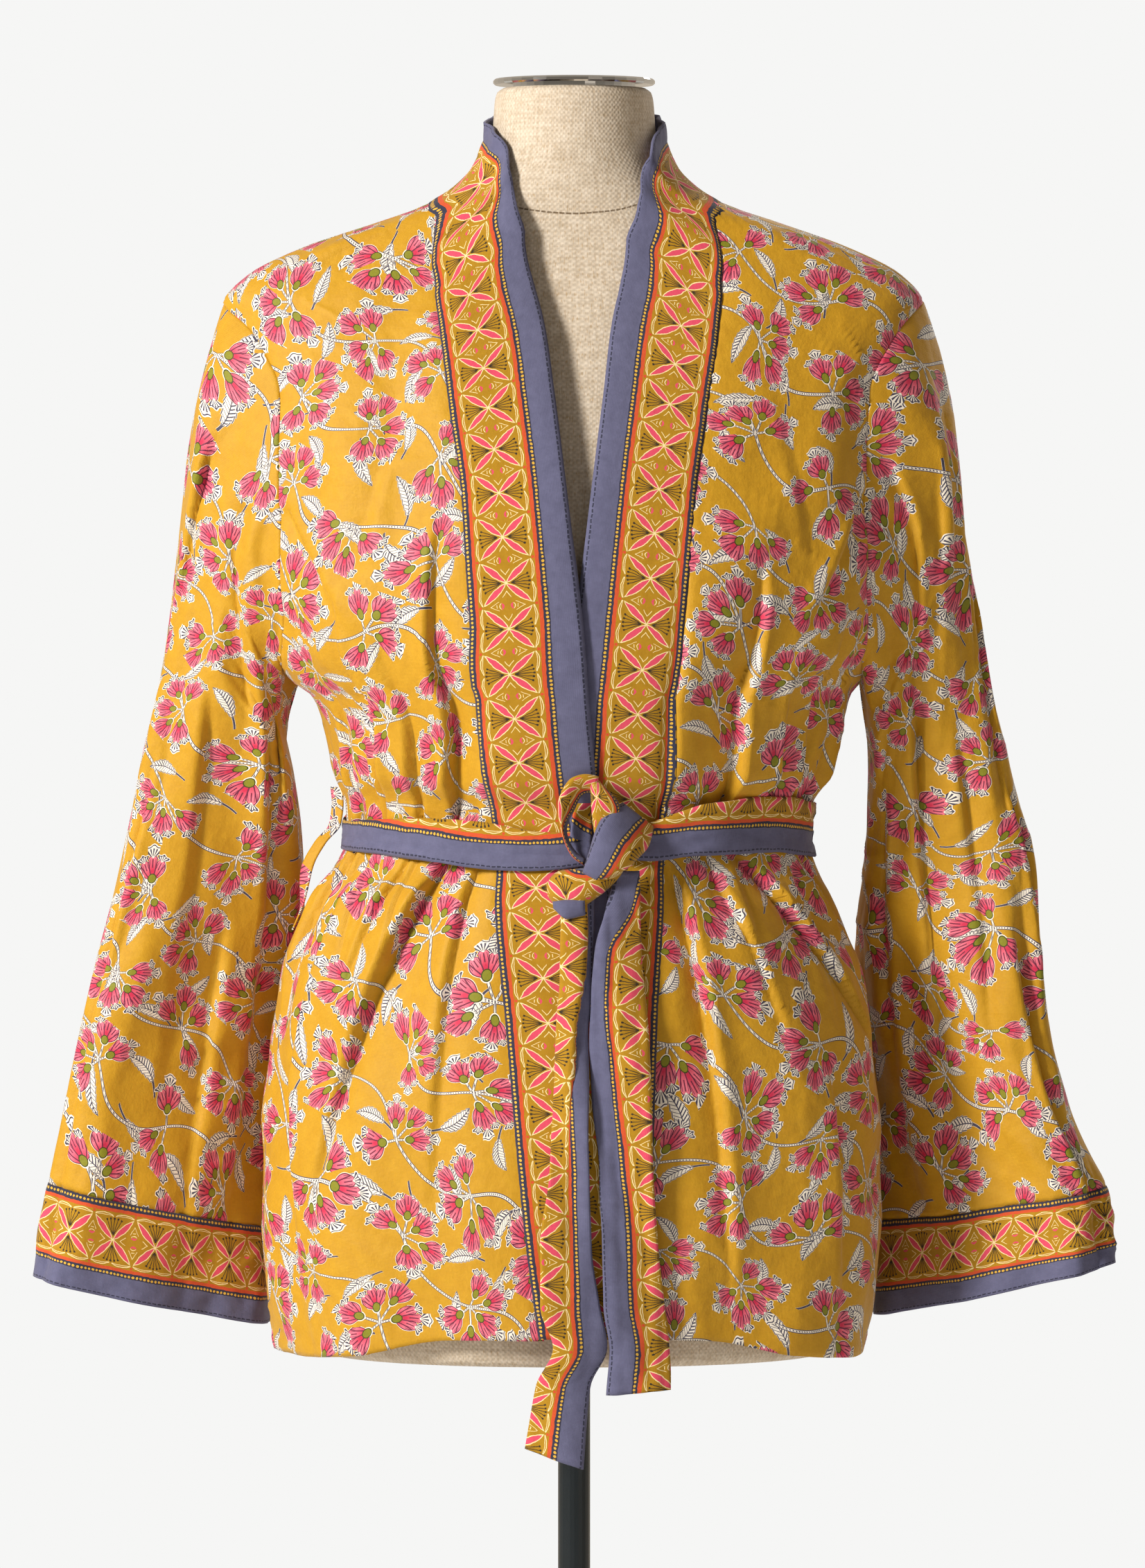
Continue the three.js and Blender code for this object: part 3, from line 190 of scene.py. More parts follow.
FORM = columns("z wide front back", [
    (712, 158, 98, 104), (716, 163, 103, 109), (750, 171, 108, 114), (800, 175, 110, 116), (860, 172, 108, 113),
    (910, 161, 103, 107), (960, 143, 94, 96), (1005, 128, 85, 86), (1035, 126, 84, 85), (1070, 130, 90, 88),
    (1120, 140, 106, 91), (1165, 149, 118, 95), (1200, 153, 118, 98), (1250, 157, 106, 100), (1300, 168, 88, 97),
    (1335, 188, 71, 87), (1354, 202, 62, 79), (1368, 205, 55, 73), (1380, 195, 50, 70), (1394, 167, 47, 67),
    (1408, 125, 46, 65), (1418, 93, 46.5, 64), (1429, 75, 47, 60), (1442, 59, 48, 55), (1460, 51, 49, 51),
    (1486, 49, 49, 49), (1491.5, 47.5, 47.5, 47.5), (1494, 44, 44, 44),
])


def curve(table, key, at, column):
    """A column's value on a smooth curve through a table's rows."""
    x, y = table[key], table[column]
    t = np.clip(at, x[0], x[-1])
    i = np.clip(np.searchsorted(x, t) - 1, 0, len(x) - 2)
    slope = np.diff(y) / np.diff(x)
    product = slope[:-1] * slope[1:]
    even = np.where(product > 0, 2 * product / np.where(product > 0, slope[:-1] + slope[1:], 1), 0)
    tangent = np.concatenate([slope[:1], even, slope[-1:]])
    # an inner row's tangent is the harmonic mean of its neighbours' slopes, an end row's is its own slope
    span = x[i + 1] - x[i]
    s = (t - x[i]) / span
    start, end = tangent[i], tangent[i + 1]
    return (y[i] * (1 + 2 * s) * (1 - s) ** 2 + y[i + 1] * s * s * (3 - 2 * s)
            + span * (start * s * (1 - s) ** 2 - end * s * s * (1 - s)))


def mix(a, b, t):
    """A value between a and b, a at 0 and b at 1."""
    return a + (b - a) * t


def smooth(x, low, high):
    """0 up to low, 1 from high on, and a smooth step between."""
    t = np.clip((x - low) / (high - low), 0, 1)
    return t * t * (3 - 2 * t)


def power(base, exponent):
    """A power that keeps the sign of its base."""
    return np.sign(base) * np.abs(base) ** exponent


def pleat(across, lean):
    """One pressed fold at a distance across it, in fold widths: a ridge that drops steeply on one side."""
    x = across * lean
    ridge = smooth(x, -0.38, 0.38)
    return (0.6 * ridge * np.exp(-np.maximum(x - 0.38, 0) / 1.7)
            - (1 - ridge) * np.exp(-np.maximum(-0.38 - x, 0) / 1.5))


def waves(u, v, spacing, height, seed, count=9):
    """Soft irregular ripples of about the given spacing, in millimetres."""
    draw = np.random.default_rng(seed)
    total = np.zeros(np.broadcast(u, v).shape)
    for _ in range(count):
        heading = draw.uniform(0, PI)
        length = spacing * draw.uniform(0.6, 1.7)
        phase = draw.uniform(0, 2 * PI)
        total += np.sin((u * math.cos(heading) + v * math.sin(heading)) * 2 * PI / length + phase)
    return height * total / math.sqrt(count)


def creases(u, v, spacing, height, seed):
    """Sharp little creases in patches, where two slow waves cross."""
    ridge = 1 - np.abs(waves(u, v, spacing, 1, seed, 5))
    patch = smooth(waves(u, v, spacing * 3.1, 1, seed + 1, 4), -0.2, 1)
    return height * patch * np.clip(ridge, -1, 1) ** 3


def facets(u, v, spacing, height, seed):
    """Flat planes with straight creases between them, in patches, as crumpled cotton falls."""
    draw = np.random.default_rng(seed)
    total = np.zeros(np.broadcast(u, v).shape)
    for k in range(4):
        heading = draw.uniform(-0.9, 0.9)
        length = spacing * draw.uniform(0.8, 1.5)
        run = (u * math.cos(heading) + v * math.sin(heading)) * 2 * PI / length + draw.uniform(0, 2 * PI)
        patch = smooth(waves(u, v, spacing * 2.7, 1, seed * 7 + k, 4), -0.7, 0.9)
        total += patch * np.arcsin(np.sin(run)) * 2 / PI
    return height * total


def wrapped(turn):
    """A turn as the same turn between -180 and 180."""
    return (turn + 180) % 360 - 180


def gathers(turn, z):
    """Small pleats that run up and down from the belt and fade out."""
    draw = np.random.default_rng(11)
    total = np.zeros(np.broadcast(turn, z).shape)
    for k in range(PLEATS):
        place = k * 360 / PLEATS + draw.uniform(-3, 3)
        for way in (-1, 1):
            reach = draw.uniform(30, 150)
            depth = draw.uniform(1.0, 4.2)
            drift = draw.uniform(-7, 7)
            width = draw.uniform(2.8, 5.2)
            t = np.clip((z - BELT_Z) * way / reach, 0, 1)
            across = wrapped(turn - place - drift * t) * MM_PER_DEGREE / (width * (1 + t))
            total += depth * smooth(t, 0, 0.15) * (1 - t) ** 1.3 * pleat(across, way)
    return total


def body_fold(turn, z):
    """How far the folds move the body's cloth outwards."""
    calm = smooth(np.abs(turn), 12, 24) * (1 - smooth(z, 1200, 1330))
    out = np.zeros(np.broadcast(turn, z).shape)
    for turn1, z1, turn2, z2, depth, width, lean in zip(*FOLDS.values()):
        t = np.clip((z - z1) / (z2 - z1), 0, 1)
        across = wrapped(turn - mix(turn1, turn2, t)) * MM_PER_DEGREE / width
        out += depth * smooth(t, 0, 0.12) * (1 - t) ** 0.8 * pleat(across, lean)
    out += gathers(turn, z)
    low = np.clip((FLARE_Z - z) / (FLARE_Z - HEM_Z), 0, 1)
    out += 4 * low * np.sin(7 * np.radians(turn) + 0.4)
    free = smooth(np.abs(z - PINCH_Z), 20, 38)
    out = calm * np.where(out > 0, out * free, out)
    loose = 0.3 + 0.7 * smooth(np.abs(turn), 14, 30)
    around = turn * MM_PER_DEGREE
    out += loose * free * (waves(around, z, 66, 1.0, 21) + facets(around, z * 0.45, 64, 1.3, 31)
                           + creases(around * 0.5 + z * 0.8, around * 0.8, 30, 1.2, 35))
    # a trough stops short of the form underneath
    s, c = np.sin(np.radians(turn)) ** 2, np.cos(np.radians(turn))
    deep = np.where(c > 0, curve(BODY, "z", z, "front") - curve(FORM, "z", z, "front"),
                    curve(BODY, "z", z, "back") - curve(FORM, "z", z, "back"))
    room = np.maximum(2.0, s * (curve(BODY, "z", z, "left") - curve(FORM, "z", z, "wide")) + (1 - s) * deep - 1.5)
    return np.where(out < 0, room * (np.exp(np.minimum(out, 0) / room) - 1), out)


def body(turn, z, lift=0.0, folded=True):
    """Points on the worn body's surface at turns in degrees and heights, moved outwards by lift."""
    turn, z = np.broadcast_arrays(np.asarray(turn, float), np.asarray(z, float))
    s, c = np.sin(np.radians(turn)), np.cos(np.radians(turn))
    wide = np.where(s < 0, curve(BODY, "z", z, "right"), curve(BODY, "z", z, "left"))
    deep = np.where(c > 0, curve(BODY, "z", z, "front"), curve(BODY, "z", z, "back"))
    nx, ny = power(s, 2 - 2 / SQUARE) / wide, -power(c, 2 - 2 / SQUARE) / deep
    length = np.hypot(nx, ny)
    out = lift + (body_fold(turn, z) if folded else 0)
    return np.stack([wide * power(s, 2 / SQUARE) + nx / length * out,
                     -deep * power(c, 2 / SQUARE) + ny / length * out, z + 0 * turn], -1)


def turn_at(x, z):
    """The turn of the point of the body's front at x and height z."""
    wide = np.where(np.asarray(x) < 0, curve(BODY, "z", z, "right"), curve(BODY, "z", z, "left"))
    return np.sign(x) * np.degrees(np.arcsin(np.minimum(1, np.abs(x) / wide) ** (SQUARE / 2)))


def overlap_lift(turn):
    """The upper front's distance off the lower one, which fades in where it begins to cross."""
    return OVERLAP_LIFT * smooth(turn, *OVERLAP_TURNS)


def with_hem(z, turn):
    """Heights with the hem's curve, which rises towards the front's middle."""
    fade = np.clip(1 - (z - HEM_Z) / HEM_FADE, 0, 1)
    return z + curve(HEM_CURVE, "turn", np.abs(turn), "rise") * fade


def panel_edge(z, forward=0.0):
    """Where a panel stops sideways, in degrees from its own centre line. The shoulder seam is moved forward."""
    inside = (z > ARMPIT_Z) & (z < TIP_Z)
    shoulder = 90 - forward * smooth(z, TIP_Z, TIP_Z + SHOULDER_BLEND)
    return np.where(inside, curve(ARMHOLE, "z", z, "turn"), shoulder)


def shares(count, span):
    """Shares of a span from 0 to 1 in even steps, with a few closer ones near both ends, where seams dip."""
    near = np.array([1.2, 2.6, 4.5, 7.5]) / span
    inner = np.linspace(near[-1], 1 - near[-1], count)[1:-1]
    return np.concatenate([[0], near, inner, 1 - near[::-1], [1]])


def seam_dip(distance, depth=0.9, width=2.6):
    """The cloth dips towards a seam."""
    return -depth * np.exp(-((distance / width) ** 2))


def lengths(grid, axis):
    """Distances along a grid's rows or columns, added up from the first point."""
    steps = np.linalg.norm(np.diff(grid, axis=axis), axis=-1)
    zero = np.zeros_like(np.take(steps, [0], axis=axis))
    return np.concatenate([zero, np.cumsum(steps, axis=axis)], axis=axis)


def flat_uv(grid, shift):
    """Roughly the cloth laid flat: millimetres along the rows from the middle column, and up from the first row."""
    anchor = round((grid.shape[1] - 1) / 2)
    along = np.gradient(grid, axis=1)
    along /= np.maximum(np.linalg.norm(along, axis=-1, keepdims=True), 1e-9)
    step = np.diff(grid, axis=0)
    sideways = (step * along[1:]).sum(-1)
    up = np.sqrt(np.maximum((step ** 2).sum(-1) - sideways ** 2, 0))
    u = lengths(grid, 1)
    u = u - u[:, [anchor]] + np.concatenate([[0], np.cumsum(sideways[:, anchor])])[:, None]
    v = np.concatenate([np.zeros_like(u[:1]), np.cumsum(up, axis=0)])
    return np.stack([u + shift[0], v + shift[1]], -1)


def laid_flat(obj, rough):
    """Unwraps a piece without stretching its print, then turns and scales it to real millimetres."""
    view = bpy.context.view_layer
    view.objects.active = obj
    obj.select_set(True)
    bpy.ops.object.mode_set(mode="EDIT")
    bpy.ops.mesh.select_all(action="SELECT")
    bpy.ops.uv.unwrap(method="ANGLE_BASED", margin=0)
    bpy.ops.object.mode_set(mode="OBJECT")
    obj.select_set(False)
    layer = obj.data.uv_layers["Cloth"]
    loops = np.empty(len(obj.data.loops), int)
    obj.data.loops.foreach_get("vertex_index", loops)
    flat = np.empty(2 * len(loops))
    layer.data.foreach_get("uv", flat)
    flat = flat[::2] + 1j * flat[1::2]
    want = rough.reshape(-1, 2)[loops] @ (1, 1j)
    centred, goal = flat - flat.mean(), want - want.mean()
    fit = (goal * centred.conj()).sum() / (abs(centred) ** 2).sum()
    place = np.empty(3 * len(obj.data.vertices))
    obj.data.vertices.foreach_get("co", place)
    place = place.reshape(-1, 3)[loops] / MM
    edges = slice(0, len(loops) - 1), slice(1, len(loops))
    real = np.linalg.norm(place[edges[1]] - place[edges[0]], axis=1)
    drawn = abs(flat[edges[1]] - flat[edges[0]])
    near = (real < 12) & (drawn > 0)
    flat = centred * (fit / abs(fit)) * np.median(real[near] / drawn[near]) + want.mean()
    layer.data.foreach_set("uv", np.stack([flat.real, flat.imag], -1).ravel())


def strip_uv(grid, v1, v2):
    """A border strip: millimetres along it, and its places across from v1 at the first column to v2."""
    along = lengths(grid[:, grid.shape[1] // 2], 0)[:, None]
    across = mix(v1, v2, np.linspace(0, 1, grid.shape[1]))
    return np.stack(np.broadcast_arrays(along, across), -1)


def normals(grid):
    """Unit normals of a grid, rows running across and columns up."""
    across = np.gradient(grid, axis=1)
    up = np.gradient(grid, axis=0)
    n = np.cross(across, up)
    return n / np.maximum(np.linalg.norm(n, axis=-1, keepdims=True), 1e-9)


def placed(name, data):
    """A new object in the scene."""
    obj = bpy.data.objects.new(name, data)
    bpy.context.scene.collection.objects.link(obj)
    return obj


def object_from(name, points, faces, uv, materials):
    """A smooth-shaded mesh object from points and the cloth's own coordinates, both in millimetres."""
    mesh = bpy.data.meshes.new(name)
    mesh.from_pydata((points.reshape(-1, 3) * MM).tolist(), [], faces.tolist())
    layer = mesh.uv_layers.new(name="Cloth")
    layer.data.foreach_set("uv", uv.reshape(-1, 2)[faces.ravel()].ravel())
    mesh.shade_smooth()
    for material in materials:
        mesh.materials.append(material)
    return placed(name, mesh)


def grid_faces(rows, across, closed=False):
    """Quads between the neighbouring points of a grid, each row closed into a ring or not."""
    index = np.arange(rows * across).reshape(rows, across)
    if closed:
        index = np.concatenate([index, index[:, :1]], 1)
    return np.stack([index[:-1, :-1], index[:-1, 1:], index[1:, 1:], index[1:, :-1]], -1).reshape(-1, 4)


def cloth_piece(name, grid, uv, wall, materials, slot, node):
    """A shell of cloth over a grid, which stands for a CAD node."""
    obj = object_from(name, grid, grid_faces(*grid.shape[:2]), uv, materials)
    if slot == "printed_cotton":
        laid_flat(obj, uv)
    solid = obj.modifiers.new("Wall", "SOLIDIFY")
    solid.thickness = wall * MM
    solid.offset = 1
    solid.use_even_offset = False  # an even wall throws spikes at sharp creases
    if len(materials) > 1:
        solid.material_offset = 1
    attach(obj, "root")
    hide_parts(node)


def puffed(name, table, start):
    """A folded stretch of belt between two edges: rounded towards the front, flatter behind, closed all round."""
    rows = len(table["x1"])
    t = np.linspace(0, rows - 1, (rows - 1) * KNOT_STEPS + 1)
    keyed = {"row": np.arange(rows), **table}
    at = {k: curve(keyed, "row", t, k)[:, None] for k in table}
    a, b = (np.stack([at["x" + k], at["y" + k] + KNOT_BACK, at["z" + k]], -1) for k in "12")
    across = np.linspace(0, 1, KNOT_POINTS)
    height = at["puff"] * np.sqrt(np.maximum(0, 1 - (2 * across - 1) ** 2))
    height[[0, -1]] *= 0.35
    front = mix(a, b, across[:, None])
    back = front.copy()
    front[..., 1] -= height
    back[..., 1] += 0.45 * height
    uv = np.stack(np.broadcast_arrays(lengths((a + b) / 2, 0) + start, mix(at["v1"], at["v2"], across)), -1)
    ring, uv = (np.concatenate([near, far[:, -2:0:-1]], 1) for near, far in ((front, back), (uv, uv)))
    obj = object_from(name, ring, grid_faces(*ring.shape[:2], closed=True), uv, BORDER)
    close_holes(obj)
    return obj


def close_holes(obj):
    """Welds a shell's coinciding points and fills its open ends."""
    bm = bmesh.new()
    bm.from_mesh(obj.data)
    bmesh.ops.remove_doubles(bm, verts=bm.verts, dist=1e-6)
    bmesh.ops.holes_fill(bm, edges=[e for e in bm.edges if e.is_boundary])
    bmesh.ops.recalc_face_normals(bm, faces=bm.faces)
    bm.to_mesh(obj.data)
    bm.free()
    obj.data.shade_smooth()


def add(tree, kind, inputs=(), output=0, **settings):
    """Adds a shader node with its settings, links or sets its inputs, and returns one output. The kind may end in the
    node's operation, as in "Math SINE", and an input such as ("SINE", x) is the result of one more Math node."""
    kind, _, operation = kind.partition(" ")
    node = tree.nodes.new("ShaderNode" + kind)
    if operation:
        node.operation = operation
    for name, value in settings.items():
        setattr(node, name, value)
    for key, value in inputs.items() if isinstance(inputs, dict) else enumerate(inputs):
        if isinstance(value, tuple) and isinstance(value[0], str):
            value = add(tree, "Math " + value[0], value[1:])
        if isinstance(value, bpy.types.NodeSocket):
            tree.links.new(value, node.inputs[key])
        else:
            node.inputs[key].default_value = value
    return node.outputs[output]


def colour(hex_code):
    """An sRGB hex value as linear light."""
    parts = [int(hex_code[i:i + 2], 16) / 255 for i in (1, 3, 5)]
    return tuple(p / 12.92 if p <= 0.04045 else ((p + 0.055) / 1.055) ** 2.4 for p in parts) + (1,)


def overprinted(tree, tint, *layers):
    """The tint with more colours over it, each as far as its own value says."""
    for code, where in layers:
        tint = add(tree, "Mix", {0: where, 6: tint, 7: colour(code)}, output=2, data_type="RGBA")
    return tint


def new_material(name, **shader):
    """A material whose shader has the given constant values."""
    material = bpy.data.materials.new(name)
    material.use_nodes = True
    tree = material.node_tree
    principled = tree.nodes["Principled BSDF"]
    for socket, value in shader.items():
        principled.inputs[socket.replace("_", " ")].default_value = value
    return material, tree, principled


# Print colours as dyed cotton shows them in soft light
PINK = "#EE7A92"
ROSE = "#D02C54"
PLUM = "#6F2444"
OLIVE = "#86861E"
DARK_OLIVE = "#3F4414"
WHITE = "#F7F1E8"
CREAM = "#F6E4AE"
CORAL = "#DF4F6C"
INK = "#45445C"
BROWN = "#3A3024"
ORANGE = "#D2552F"
GROUND_LOW, GROUND_HIGH = "#C08E14", "#CE9E20"
BAND_LOW, BAND_HIGH = "#A87C14", "#B68B1E"
NIGHT = "#34364C"
DOT_YELLOW = "#DDB044"
SLATE_LOW, SLATE_HIGH = "#585A7A", "#6A6C8F"

PETAL_TURN = math.radians(21)  # between a blossom's three petals
BLOSSOM_SIZE = 1.16  # a blossom is drawn 19 mm long and enlarged


def blossom_group():
    """One printed blossom in its own millimetres, x from its cup to its tips and y across."""
    tree = bpy.data.node_groups.new("Printed blossom", "ShaderNodeTree")
    face = tree.interface
    face.new_socket("Place", in_out="INPUT", socket_type="NodeSocketVector")
    face.new_socket("Draw", in_out="INPUT", socket_type="NodeSocketFloat")
    face.new_socket("Colour", in_out="OUTPUT", socket_type="NodeSocketColor")
    face.new_socket("Cover", in_out="OUTPUT", socket_type="NodeSocketFloat")
    entry = tree.nodes.new("NodeGroupInput")
    place, draw = entry.outputs[0], entry.outputs[1]
    x, y, _ = add(tree, "SeparateXYZ", [place]).node.outputs
    radius = add(tree, "VectorMath LENGTH", [place], output=1)
    spread = add(tree, "Math MULTIPLY_ADD", [draw, -0.25, 1.1])
    angle = add(tree, "Math MULTIPLY", [("ARCTAN2", y, x), spread])
    # the angle folded onto the nearest of three petals
    petal = add(tree, "Clamp", [("FLOOR", ("MULTIPLY_ADD", angle, 1 / PETAL_TURN, 0.5)), -1.0, 1.0])
    side = add(tree, "Math ABSOLUTE", [petal])
    turned = add(tree, "Math MULTIPLY_ADD", [petal, -PETAL_TURN, angle])
    shorter = add(tree, "Math MULTIPLY_ADD", [side, 0.14, 1.0])
    reach = add(tree, "Math MULTIPLY", [radius, shorter])
    along = add(tree, "Math MULTIPLY", [reach, ("COSINE", turned)])
    off = add(tree, "Math ABSOLUTE", [("MULTIPLY", reach, ("SINE", turned))])
    # a pointed petal: the half width is a parabola along it
    bulge = add(tree, "Math POWER", [("MULTIPLY_ADD", along, 1 / 7.2, -8.6 / 7.2), 2.0])
    half_wide = add(tree, "Math MULTIPLY_ADD", [bulge, -3.5, 3.5])
    petals = add(tree, "Math SUBTRACT", [off, half_wide])
    # the line between two neighbouring petals
    gap = add(tree, "Math MULTIPLY", [("ABSOLUTE", ("SUBTRACT", ("ABSOLUTE", turned), PETAL_TURN / 2)), radius])
    rim = add(tree, "Math MINIMUM", [("ABSOLUTE", petals), ("ADD", gap, ("GREATER_THAN", petals, 0.0))])
    rim = add(tree, "Math LESS_THAN", [rim, 0.27])
    hatch = add(tree, "Math LESS_THAN", [("FRACT", ("MULTIPLY", off, 0.8)), 0.22])
    hatch = add(tree, "Math MULTIPLY", [hatch, ("COMPARE", along, 10.6, 2.3)])
    strokes = add(tree, "Math MULTIPLY", [("MAXIMUM", rim, hatch), ("LESS_THAN", petals, 0.25)])
    # a scalloped fan with dark rays opens from each petal's tip, larger on the middle one
    foot = add(tree, "Math SUBTRACT", [along, 13.2])
    fan_reach = add(tree, "VectorMath LENGTH", [add(tree, "CombineXYZ", [foot, off])], output=1)
    fan_turn = add(tree, "Math ARCTAN2", [off, foot])
    scallop = add(tree, "Math COSINE", [("MULTIPLY", fan_turn, 8.0)])
    fan_size = add(tree, "Math MULTIPLY_ADD", [side, 1.9, -6.1])
    fan = add(tree, "Math ADD", [("ADD", fan_reach, fan_size), ("MULTIPLY", scallop, -0.4)])
    fan = add(tree, "Math MAXIMUM", [fan, ("MULTIPLY", ("SUBTRACT", fan_turn, 0.95), 5.0)])
    rays = add(tree, "Math GREATER_THAN", [("COSINE", ("MULTIPLY", fan_turn, 16.0)), 0.1])
    rays = add(tree, "Math MULTIPLY", [rays, ("COMPARE", fan_reach, 2.8, 1.9)])
    fan_line = add(tree, "Math COMPARE", [fan, -0.32, 0.26])
    cup = add(tree, "Mapping", {0: place, "Location": (2.2, 0, 0), "Scale": (2.9, 2.1, 1)}, vector_type="TEXTURE")
    cup = add(tree, "Math MULTIPLY_ADD", [add(tree, "VectorMath LENGTH", [cup], output=1), 2.5, -2.5])
    everything = add(tree, "Math MINIMUM", [("MINIMUM", petals, fan), cup])
    cover = add(tree, "Math LESS_THAN", [everything, 0.5])
    deep = add(tree, "Math ADD", [("MULTIPLY_ADD", along, -0.13, 1.95), ("MULTIPLY", off, -0.16)])
    deep = add(tree, "Math ADD", [deep, ("MULTIPLY", side, -0.45)])
    dye = overprinted(tree, colour(PINK), (ROSE, deep))
    tint = add(tree, "Mix", {0: ("LESS_THAN", petals, 0.0), 6: colour(WHITE), 7: dye}, output=2, data_type="RGBA")
    fan_ink = add(tree, "Math MULTIPLY", [("MAXIMUM", rays, fan_line), ("LESS_THAN", fan, 0.1)])
    tint = overprinted(tree, tint, (PLUM, strokes), (WHITE, ("LESS_THAN", fan, 0.0)), (INK, fan_ink),
                       (OLIVE, ("LESS_THAN", cup, 0.0)), (DARK_OLIVE, ("COMPARE", cup, -0.2, 0.24)))
    done = tree.nodes.new("NodeGroupOutput")
    tree.links.new(tint, done.inputs[0])
    tree.links.new(cover, done.inputs[1])


ROWS_TURN = math.radians(32)  # the sprays' rows run across the cloth at a slant
SPRAY_PITCH = (60.0, 52.0)
BLOSSOM_TURN = math.radians(50)  # between the blossoms that fan out from a branching point
STALK = 6.4  # from the branching point to a blossom's cup
LEAF_PITCH = (36.0, 31.0)
STEM_HALF = 1.05


def cotton_print(tree, cloth):
    """The print's colour at a place on the cloth: mustard ground, rope stems, leaves and sprays of blossoms."""
    drift = add(tree, "TexNoise", {0: cloth, "Scale": 1 / 110, "Detail": 1.0}, output=1, noise_dimensions="2D")
    drift = add(tree, "VectorMath SUBTRACT", [drift, (0.5, 0.5, 0.5)])
    place = add(tree, "VectorMath MULTIPLY_ADD", {0: drift, 1: (38, 38, 0), 2: cloth})
    place = add(tree, "VectorRotate", {0: place, "Angle": ROWS_TURN}, rotation_type="Z_AXIS")
    x, y, _ = add(tree, "SeparateXYZ", [place]).node.outputs

    def cell(pitch, shift):
        """A brick-like lattice: the place inside its cell, and the cell's own numbers."""
        row = add(tree, "Math FLOOR", [("MULTIPLY_ADD", y, 1 / pitch[1], shift)])
        across = add(tree, "Math MULTIPLY_ADD", [x, 1 / pitch[0], ("MULTIPLY", row, 0.5)])
        column = add(tree, "Math FLOOR", [across])
        in_x = add(tree, "Math SUBTRACT", [("SUBTRACT", across, column), 0.5])
        in_y = add(tree, "Math SUBTRACT", [("MULTIPLY_ADD", y, 1 / pitch[1], shift - 0.5), row])
        local = add(tree, "VectorMath MULTIPLY", [add(tree, "CombineXYZ", [in_x, in_y]), (*pitch, 1)])
        return local, add(tree, "CombineXYZ", [column, row, shift]), in_x, in_y

    spray, spray_id, spray_x, spray_y = cell(SPRAY_PITCH, 0.0)
    chance = add(tree, "TexWhiteNoise", {0: spray_id}, noise_dimensions="3D")
    column, row, _ = add(tree, "SeparateXYZ", [spray_id]).node.outputs
    facing = add(tree, "Math MULTIPLY", [("FLOORED_MODULO", row, 2.0), PI])
    facing = add(tree, "Math ADD", [("MULTIPLY_ADD", chance, 2.6, -1.3), facing])
    turned = add(tree, "VectorRotate", {0: spray, "Angle": facing}, rotation_type="Z_AXIS")
    turned_x, turned_y, _ = add(tree, "SeparateXYZ", [turned]).node.outputs
    angle = add(tree, "Math ARCTAN2", [turned_y, turned_x])
    # five blossoms fan out to one side, every second one on a longer stalk
    sector = add(tree, "Clamp", [("FLOOR", ("MULTIPLY_ADD", angle, 1 / BLOSSOM_TURN, 0.5)), -2.0, 2.0])
    sector_up = add(tree, "CombineXYZ", {2: sector})
    sector_id = add(tree, "VectorMath MULTIPLY_ADD", {0: spray_id, 1: (7.1, 3.3, 1), 2: sector_up})
    fate = add(tree, "TexWhiteNoise", {0: sector_id}, noise_dimensions="3D")
    wobble = add(tree, "Math MULTIPLY_ADD", [fate, 0.26, -0.13])
    bent = add(tree, "Math ADD", [("MULTIPLY_ADD", sector, -BLOSSOM_TURN, angle), wobble])
    radius = add(tree, "VectorMath LENGTH", [spray], output=1)
    along = add(tree, "Math MULTIPLY", [radius, ("COSINE", bent)])
    across = add(tree, "Math MULTIPLY", [radius, ("SINE", bent)])
    longer = add(tree, "Math MULTIPLY_ADD", [("FLOORED_MODULO", sector, 2.0), -4.5, -STALK])
    flower_x = add(tree, "Math ADD", [along, ("MULTIPLY_ADD", fate, -1.8, longer)])
    flower_at = add(tree, "VectorMath DIVIDE", [add(tree, "CombineXYZ", [flower_x, across]),
                                                (BLOSSOM_SIZE, BLOSSOM_SIZE, 1)])
    flower = add(tree, "Group", [flower_at, fate], node_tree=bpy.data.node_groups["Printed blossom"]).node
    grown = add(tree, "Math GREATER_THAN", [fate, 0.06])
    has_flower = add(tree, "Math MULTIPLY", [flower.outputs[1], grown])
    stalk = add(tree, "Math ADD", [("ABSOLUTE", across), ("GREATER_THAN", flower_x, 0.5)])
    stalk = add(tree, "Math ADD", [stalk, ("MULTIPLY_ADD", grown, -9.0, 9.0)])
    stalk = add(tree, "Math ADD", [stalk, ("LESS_THAN", along, 0.0)])

    # rope stems swing from spray to spray, crossing each branching point
    swing = add(tree, "Math SINE", [("MULTIPLY", spray_x, PI)])
    rung = add(tree, "Math MULTIPLY_ADD", [("FLOORED_MODULO", column, 2.0), 2.0, -1.0])
    bow = add(tree, "Math MULTIPLY", [("MULTIPLY", swing, rung), -0.24])
    stem = add(tree, "Math ABSOLUTE", [("MULTIPLY", ("ADD", spray_y, bow), 47.0)])
    lines = add(tree, "Math MINIMUM", [stem, ("MULTIPLY", stalk, 1.3)])
    stem_white = add(tree, "Math LESS_THAN", [lines, STEM_HALF])
    rope = add(tree, "Math LESS_THAN", [("FRACT", ("MULTIPLY_ADD", x, 0.5, ("MULTIPLY", y, 0.4))), 0.45])
    core = add(tree, "Math MULTIPLY", [("LESS_THAN", lines, 0.34), rope])
    edge = add(tree, "Math COMPARE", [lines, STEM_HALF - 0.2, 0.24])
    stem_ink = add(tree, "Math MAXIMUM", [core, edge])

